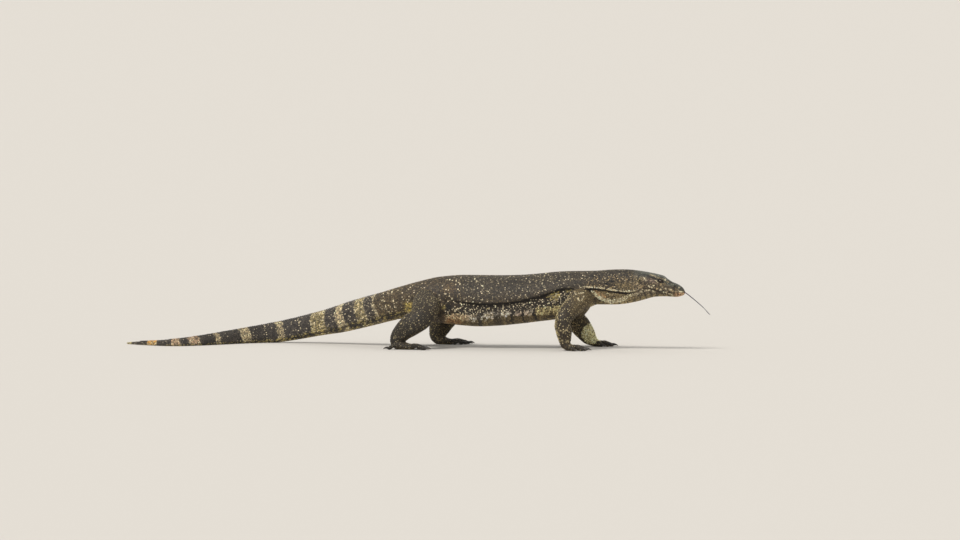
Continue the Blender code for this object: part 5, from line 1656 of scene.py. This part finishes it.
def dress_scales(seeds):
    """The coat: every scale as its own closed shape, in pieces."""
    draw = np.random.default_rng(SEED + 1)
    normals = scale_normals(seeds["place"])
    cells = Cells(seeds, normals)
    first, shade, dot = draw.random((3, len(seeds)))
    luck = draw.random(len(seeds)), shade, dot
    dot[(first[:, None] > first[cells.near[:, :6]]).any(1)] = 1
    grown = (dot < 0.9) & (seeds["style"] == GRANULE)
    for size in ("long", "wide"):
        seeds[size][grown] *= DOT_GROWTH
    facts = np.stack([seeds[name].astype(float) for name in ("region", "digit", "along", "around")], -1)
    colours = marked(seeds["place"], normals, facts, luck)
    for name, slot, region, start, end, side in COAT_PIECES:
        inside = (seeds["region"] == region) & (seeds["along"] >= start) & (seeds["along"] < end)
        if side:
            inside &= (seeds["around"] >= 0) if side > 0 else (seeds["around"] < 0)
        index = np.flatnonzero(inside)
        on_map = unrolled(seeds[index])
        made, faces, count = [], [], 0
        for style, (corners, height, keel, gap) in STYLES.items():
            mine = np.flatnonzero(seeds["style"][index] == style)
            if not len(mine):
                continue
            points, new_faces, shades, owners, within = raised_scales(
                cells, index[mine], corners, height, keel, gap, draw)
            made.append((points, shades, mine[owners], within))
            faces += [f + count for f in new_faces]
            count += len(points)
        points, shades, owners, within = (np.concatenate(part) for part in zip(*made))
        points[:, 2] = np.maximum(points[:, 2], 0.0)
        mesh = new_mesh(name, to_frame(points), faces)
        # the scales' colours, with the painted shade at their roots
        put_colours(mesh, colours[index][owners] * shades[:, None])
        put_map(mesh, on_map[owners] + within)
        dressed(name, mesh, SURFACES[slot], slot)


def ring_mesh(name, rings):
    """A closed loft over rings of points."""
    surface = Surface()
    surface.add(rings, 0, 0, np.zeros(rings.shape[:2]), np.zeros(rings.shape[:2]))
    points, quads, caps, _ = surface.joined()
    return new_mesh(name, to_frame(points), [*quads, *caps]), points


# Rings of the eye from its middle, as (degrees, tone)
EYE_RINGS = (
    (0, (5, 4, 4)), (15.5, (5, 4, 4)), (16.5, (104, 76, 36)), (18.5, (84, 60, 28)), (20.5, (38, 26, 17)),
    (34, (28, 19, 13)), (40, (16, 12, 9)), (60, (24, 18, 14)), (180, (40, 32, 27)),
)


def dress_eyes():
    """Glossy eyes with their rings of colour, finer than the solids and in the same places."""
    angles = np.concatenate([np.linspace(0.5, 45, 60), np.linspace(47, 179.5, 40)])
    tones = np.array([tone for _, tone in EYE_RINGS]) / 255
    knots = [angle for angle, _ in EYE_RINGS]
    for side, name in ((-1, "eye_right"), (1, "eye_left")):
        point, along, up, out = place_frame(*EYE_PLACE, side)
        centre = point - out * EYE_SINK
        turn = np.linspace(0, TURN, 96, endpoint=False)
        theta = np.radians(angles)[:, None]
        radius = EYE_RADIUS + 0.35 * bump(theta, 0, 0.5)
        ahead, above = np.sin(theta) * np.cos(turn), np.sin(theta) * np.sin(turn)
        rings = centre + radius[..., None] * (
            np.cos(theta)[..., None] * out + ahead[..., None] * along + above[..., None] * up
        )
        mesh, points = ring_mesh(name, rings)
        off = unit(points - centre)
        angle = np.degrees(np.arccos(np.clip(off @ out, -1, 1)))
        colours = np.stack([np.interp(angle, knots, tones[:, i]) for i in range(3)], -1)
        about = np.arctan2(off @ up, off @ along)
        streaks = 1 + 0.25 * (np.sin(about * 23) * np.sin(about * 37 + 1)) * bump(angle, 30, 12)
        put_colours(mesh, linear(colours * streaks[:, None]))
        dressed(name, mesh, EYE, "eye", name)


FINE_SIDES = 24           # corners round the claws and the tongue


def dress_claws():
    """Hooked claws, finer than the solids and in the same places."""
    for limb_name, rows, digits, side, _ in LIMBS:
        foot = ("hand" if limb_name.startswith("arm") else "foot") + "_" + limb_name.split("_")[1]
        for which, spec in enumerate(digits, 1):
            _, root, way = digit_rows(rows, spec, side)
            tip = root + way * (spec[0] - CLAW_BED)
            line = [
                (*(tip + way * share * CLAW_LENGTH)[:2], z, thick, thick * CLAW_WIDTH)
                for share, z, thick in CLAW_LINE
            ]
            rings, _, along, _, _ = tube_rings(line, 0.5, FINE_SIDES)
            name = f"claw_{foot}_{which}"
            mesh, points = ring_mesh(name, rings)
            share = np.append(np.repeat(along / along[-1], FINE_SIDES), [0, 1])
            tone = CLAW_TONE + (CLAW_TIP_TONE - CLAW_TONE) * (smoothstep(0.35, 1.0, share) * 0.8)[:, None]
            tone = tone * (1 + 0.1 * ripple(points * np.array([1, 1, 3]), 2.2, which))[:, None]
            put_colours(mesh, linear(tone))
            dressed(name, mesh, CLAW, "claw", name)


def dress_tongue():
    """The forked tongue."""
    root_y = float(plan(TONGUE_ROOT_X))
    half = smooth(TONGUE_HALF)
    rows = [
        (TONGUE_ROOT_X + ahead, root_y - ahead * TONGUE_VEER, z, half(ahead) * TONGUE_FLATNESS, half(ahead))
        for ahead, z in TONGUE_LINE
    ]
    grid, _, _, _, ways = tube_rings(rows, 1.0, FINE_SIDES)
    grids = [grid]
    end, way = np.array(rows[-1][:3]), unit(ways[-1] * np.array([1, 1, 0]))
    droop = math.radians(TINE_DROOP)
    for side in (1, -1):
        spread = math.radians(TINE_SPREAD) * side
        c, s = math.cos(spread), math.sin(spread)
        level = np.array([way[0] * c - way[1] * s, way[0] * s + way[1] * c, 0])
        line = level * math.cos(droop) - np.array([0, 0, math.sin(droop)])
        tine = [
            (*(end - line * TINE_ROOT + line * (share * TINE_LENGTH)), TONGUE_FLATNESS * thick, thick)
            for share, thick in TINE_HALF
        ]
        grids.append(tube_rings(tine, 1.0, FINE_SIDES)[0])
    surface = Surface()
    for grid in grids:
        surface.add(grid, 0, 0, np.zeros(grid.shape[:2]), np.zeros(grid.shape[:2]))
    points, quads, caps, _ = surface.joined()
    mesh = new_mesh("tongue", to_frame(points), [*quads, *caps])
    share = np.clip((points[:, 0] - TONGUE_ROOT_X) / 70, 0, 1)
    tone = TONGUE_TONE + (FORK_TONE - TONGUE_TONE) * smoothstep(0.0, 0.45, share)[:, None]
    put_colours(mesh, linear(tone * (1 + 0.08 * ripple(points, 5, 3))[:, None]))
    dressed("tongue", mesh, TONGUE, "tongue", "tongue")


# Rings of a tooth of the crest, as (size, height, lean backwards); the first lies that far below the skin
TOOTH_RINGS = ((1.0, -1.2, 0.0), (0.92, 0.25, 0.1), (0.5, 0.72, 0.75), (0.1, 1.0, 1.15))


def crest_pitch(x):
    return CREST_PITCH * (0.55 + 0.45 * np.clip(half_width(x) / 12, 0, 1))


def dress_crest():
    """Two rows of small black teeth along the top of the tail."""
    draw = np.random.default_rng(SEED + 2)
    stations = spine_places(CREST_TO, CREST_FROM, crest_pitch)
    slope = (back(stations + 2) - back(stations - 2)) / 4
    turn = (plan(stations + 1) - plan(stations - 1)) / 2
    along = unit(np.stack([np.ones(len(stations)), turn, slope], -1))
    left = unit(np.stack([-turn, np.ones(len(stations)), 0 * turn], -1))
    up = np.cross(along, left)
    share = np.clip(half_width(stations) / 9.0, 0, 1)
    high = CREST_HEIGHT * (0.45 + 0.55 * share) * draw.uniform(0.85, 1.15, len(stations))
    high *= smoothstep(CREST_FROM + 8, CREST_FROM - 50, stations)
    middle = np.stack([stations, plan(stations), back(stations) - 0.3], -1)
    long, wide = CREST_PITCH * 0.56 * (0.5 + 0.5 * share), 0.75 * (0.5 + 0.5 * share)
    points, count = [], len(stations)
    for side in (-1, 1):
        top = middle + left * (side * 0.55 * share + 0.1 * side)[:, None]
        for grow, lift, lean in TOOTH_RINGS:
            rise = np.where(lift < 0, lift, lift * high)
            for a, b in ((1, 0), (0, 1), (-1, 0), (0, -1)):
                ahead, aside = a * long * grow - lean * high * 0.9, b * wide * grow * 1.2
                points.append(top + along * ahead[:, None] + left * aside[:, None] + up * rise[:, None])
    grid = np.stack(points, 1).reshape(count, 2, 4, 4, 3).reshape(count * 2, 4, 4, 3)
    flat = grid.reshape(-1, 3)
    index = np.arange(len(flat)).reshape(-1, 4, 4)
    nxt = np.roll(index, -1, 2)
    sides = np.stack([index[:, :-1], nxt[:, :-1], nxt[:, 1:], index[:, 1:]], -1).reshape(-1, 4)
    ends = np.concatenate([index[:, 0, ::-1], index[:, -1]])
    mesh = new_mesh("tail_crest", to_frame(flat), [sides, ends])
    owner = np.repeat(np.repeat(stations, 2), 16)
    facts = np.stack([0 * owner, 0 * owner, owner, 0 * owner], -1)
    luck = np.full(len(owner), 0.5), np.repeat(draw.random(count * 2), 16), np.ones(len(owner))
    colours = marked(flat, np.tile([0.0, 0, 1], (len(flat), 1)), facts, luck)
    put_colours(mesh, 0.5 * linear(INK_TONE * 0.8) + 0.5 * colours)
    ahead = (owner - CREST_TO) / (CREST_FROM - CREST_TO)
    spread = np.stack([ahead, np.tile([0.3, 0.7], count).repeat(16)], -1)
    put_map(mesh, 0.02 + 0.95 * spread)
    dressed("tail_crest", mesh, TAIL, "tail_skin")


dress_skin()
dress_scales(seeds)
dress_eyes()
dress_claws()
dress_tongue()
dress_crest()

FLOOR_TONE, SKY_TONE, SKY_STRENGTH = (0.52, 0.50, 0.47, 1), (1.0, 0.985, 0.955, 1), 0.6
# Soft lights, as (name, way they come from, strength, angle in degrees)
LIGHTS = (
    ("key", (-0.55, -0.75, 1.35), 2.6, 24), ("fill", (0.9, -1.0, 0.5), 0.5, 60),
    ("rim", (0.3, 1.0, 0.9), 0.6, 40),
)
LIGHT_TONE = (1.0, 0.965, 0.91)
FLOOR_REACH = 70


def plain_material(name, tone, roughness):
    made = bpy.data.materials.new(name)
    made.use_nodes = True
    shader = made.node_tree.nodes["Principled BSDF"]
    shader.inputs["Base Color"].default_value = tone
    shader.inputs["Roughness"].default_value = roughness
    return made


def studio():
    """A wide pale floor, soft lights and a pale sky."""
    mesh = bpy.data.meshes.new("floor")
    corners = [(x * FLOOR_REACH, y * FLOOR_REACH, 0) for x, y in ((-1, -1), (1, -1), (1, 1), (-1, 1))]
    mesh.from_pydata(corners, [], [(0, 1, 2, 3)])
    mesh.materials.append(plain_material("floor", FLOOR_TONE, 0.9))
    floor = bpy.data.objects.new("floor", mesh)
    bpy.context.scene.collection.objects.link(floor)
    world = bpy.data.worlds.new("sky")
    world.use_nodes = True
    world.node_tree.nodes["Background"].inputs["Color"].default_value = SKY_TONE
    world.node_tree.nodes["Background"].inputs["Strength"].default_value = SKY_STRENGTH
    bpy.context.scene.world = world
    for name, way, strength, angle in LIGHTS:
        light = bpy.data.lights.new(name, "SUN")
        light.energy, light.angle, light.color = strength, math.radians(angle), LIGHT_TONE
        lamp = bpy.data.objects.new(name, light)
        lamp.location = Vector(way) * 2
        lamp.rotation_euler = (-Vector(way)).to_track_quat("-Z", "Y").to_euler()
        bpy.context.scene.collection.objects.link(lamp)


AZIMUTH, ELEVATION, DISTANCE, LENS = math.radians(12), math.radians(2.5), 36.9, 600
# Metres that one pixel of the photograph spans, its middle, and the pixel of the floor under the hips
PIXEL, MIDDLE_PIXEL, HIP_PIXEL = 0.0023, (480, 270), (427, 347)


def photo_camera():
    """The camera at the photograph's angle and framing."""
    right = Vector((math.cos(AZIMUTH), math.sin(AZIMUTH), 0))
    level = math.cos(ELEVATION)
    away = Vector((math.sin(AZIMUTH) * level, -math.cos(AZIMUTH) * level, math.sin(ELEVATION)))
    up = away.cross(right)
    beside, above = MIDDLE_PIXEL[0] - HIP_PIXEL[0], HIP_PIXEL[1] - MIDDLE_PIXEL[1]
    aim = SHIFT + right * (beside * PIXEL) + up * (above * PIXEL)
    camera = bpy.data.cameras.new("camera")
    camera.lens, camera.sensor_width = LENS, 36
    camera.clip_end = 300
    obj = bpy.data.objects.new("camera", camera)
    turn = Matrix((right, up, away)).transposed().to_4x4()
    obj.matrix_world = Matrix.Translation(aim + away * DISTANCE) @ turn
    bpy.context.scene.collection.objects.link(obj)
    bpy.context.scene.camera = obj


studio()
photo_camera()
bpy.context.scene.view_settings.view_transform = "Standard"
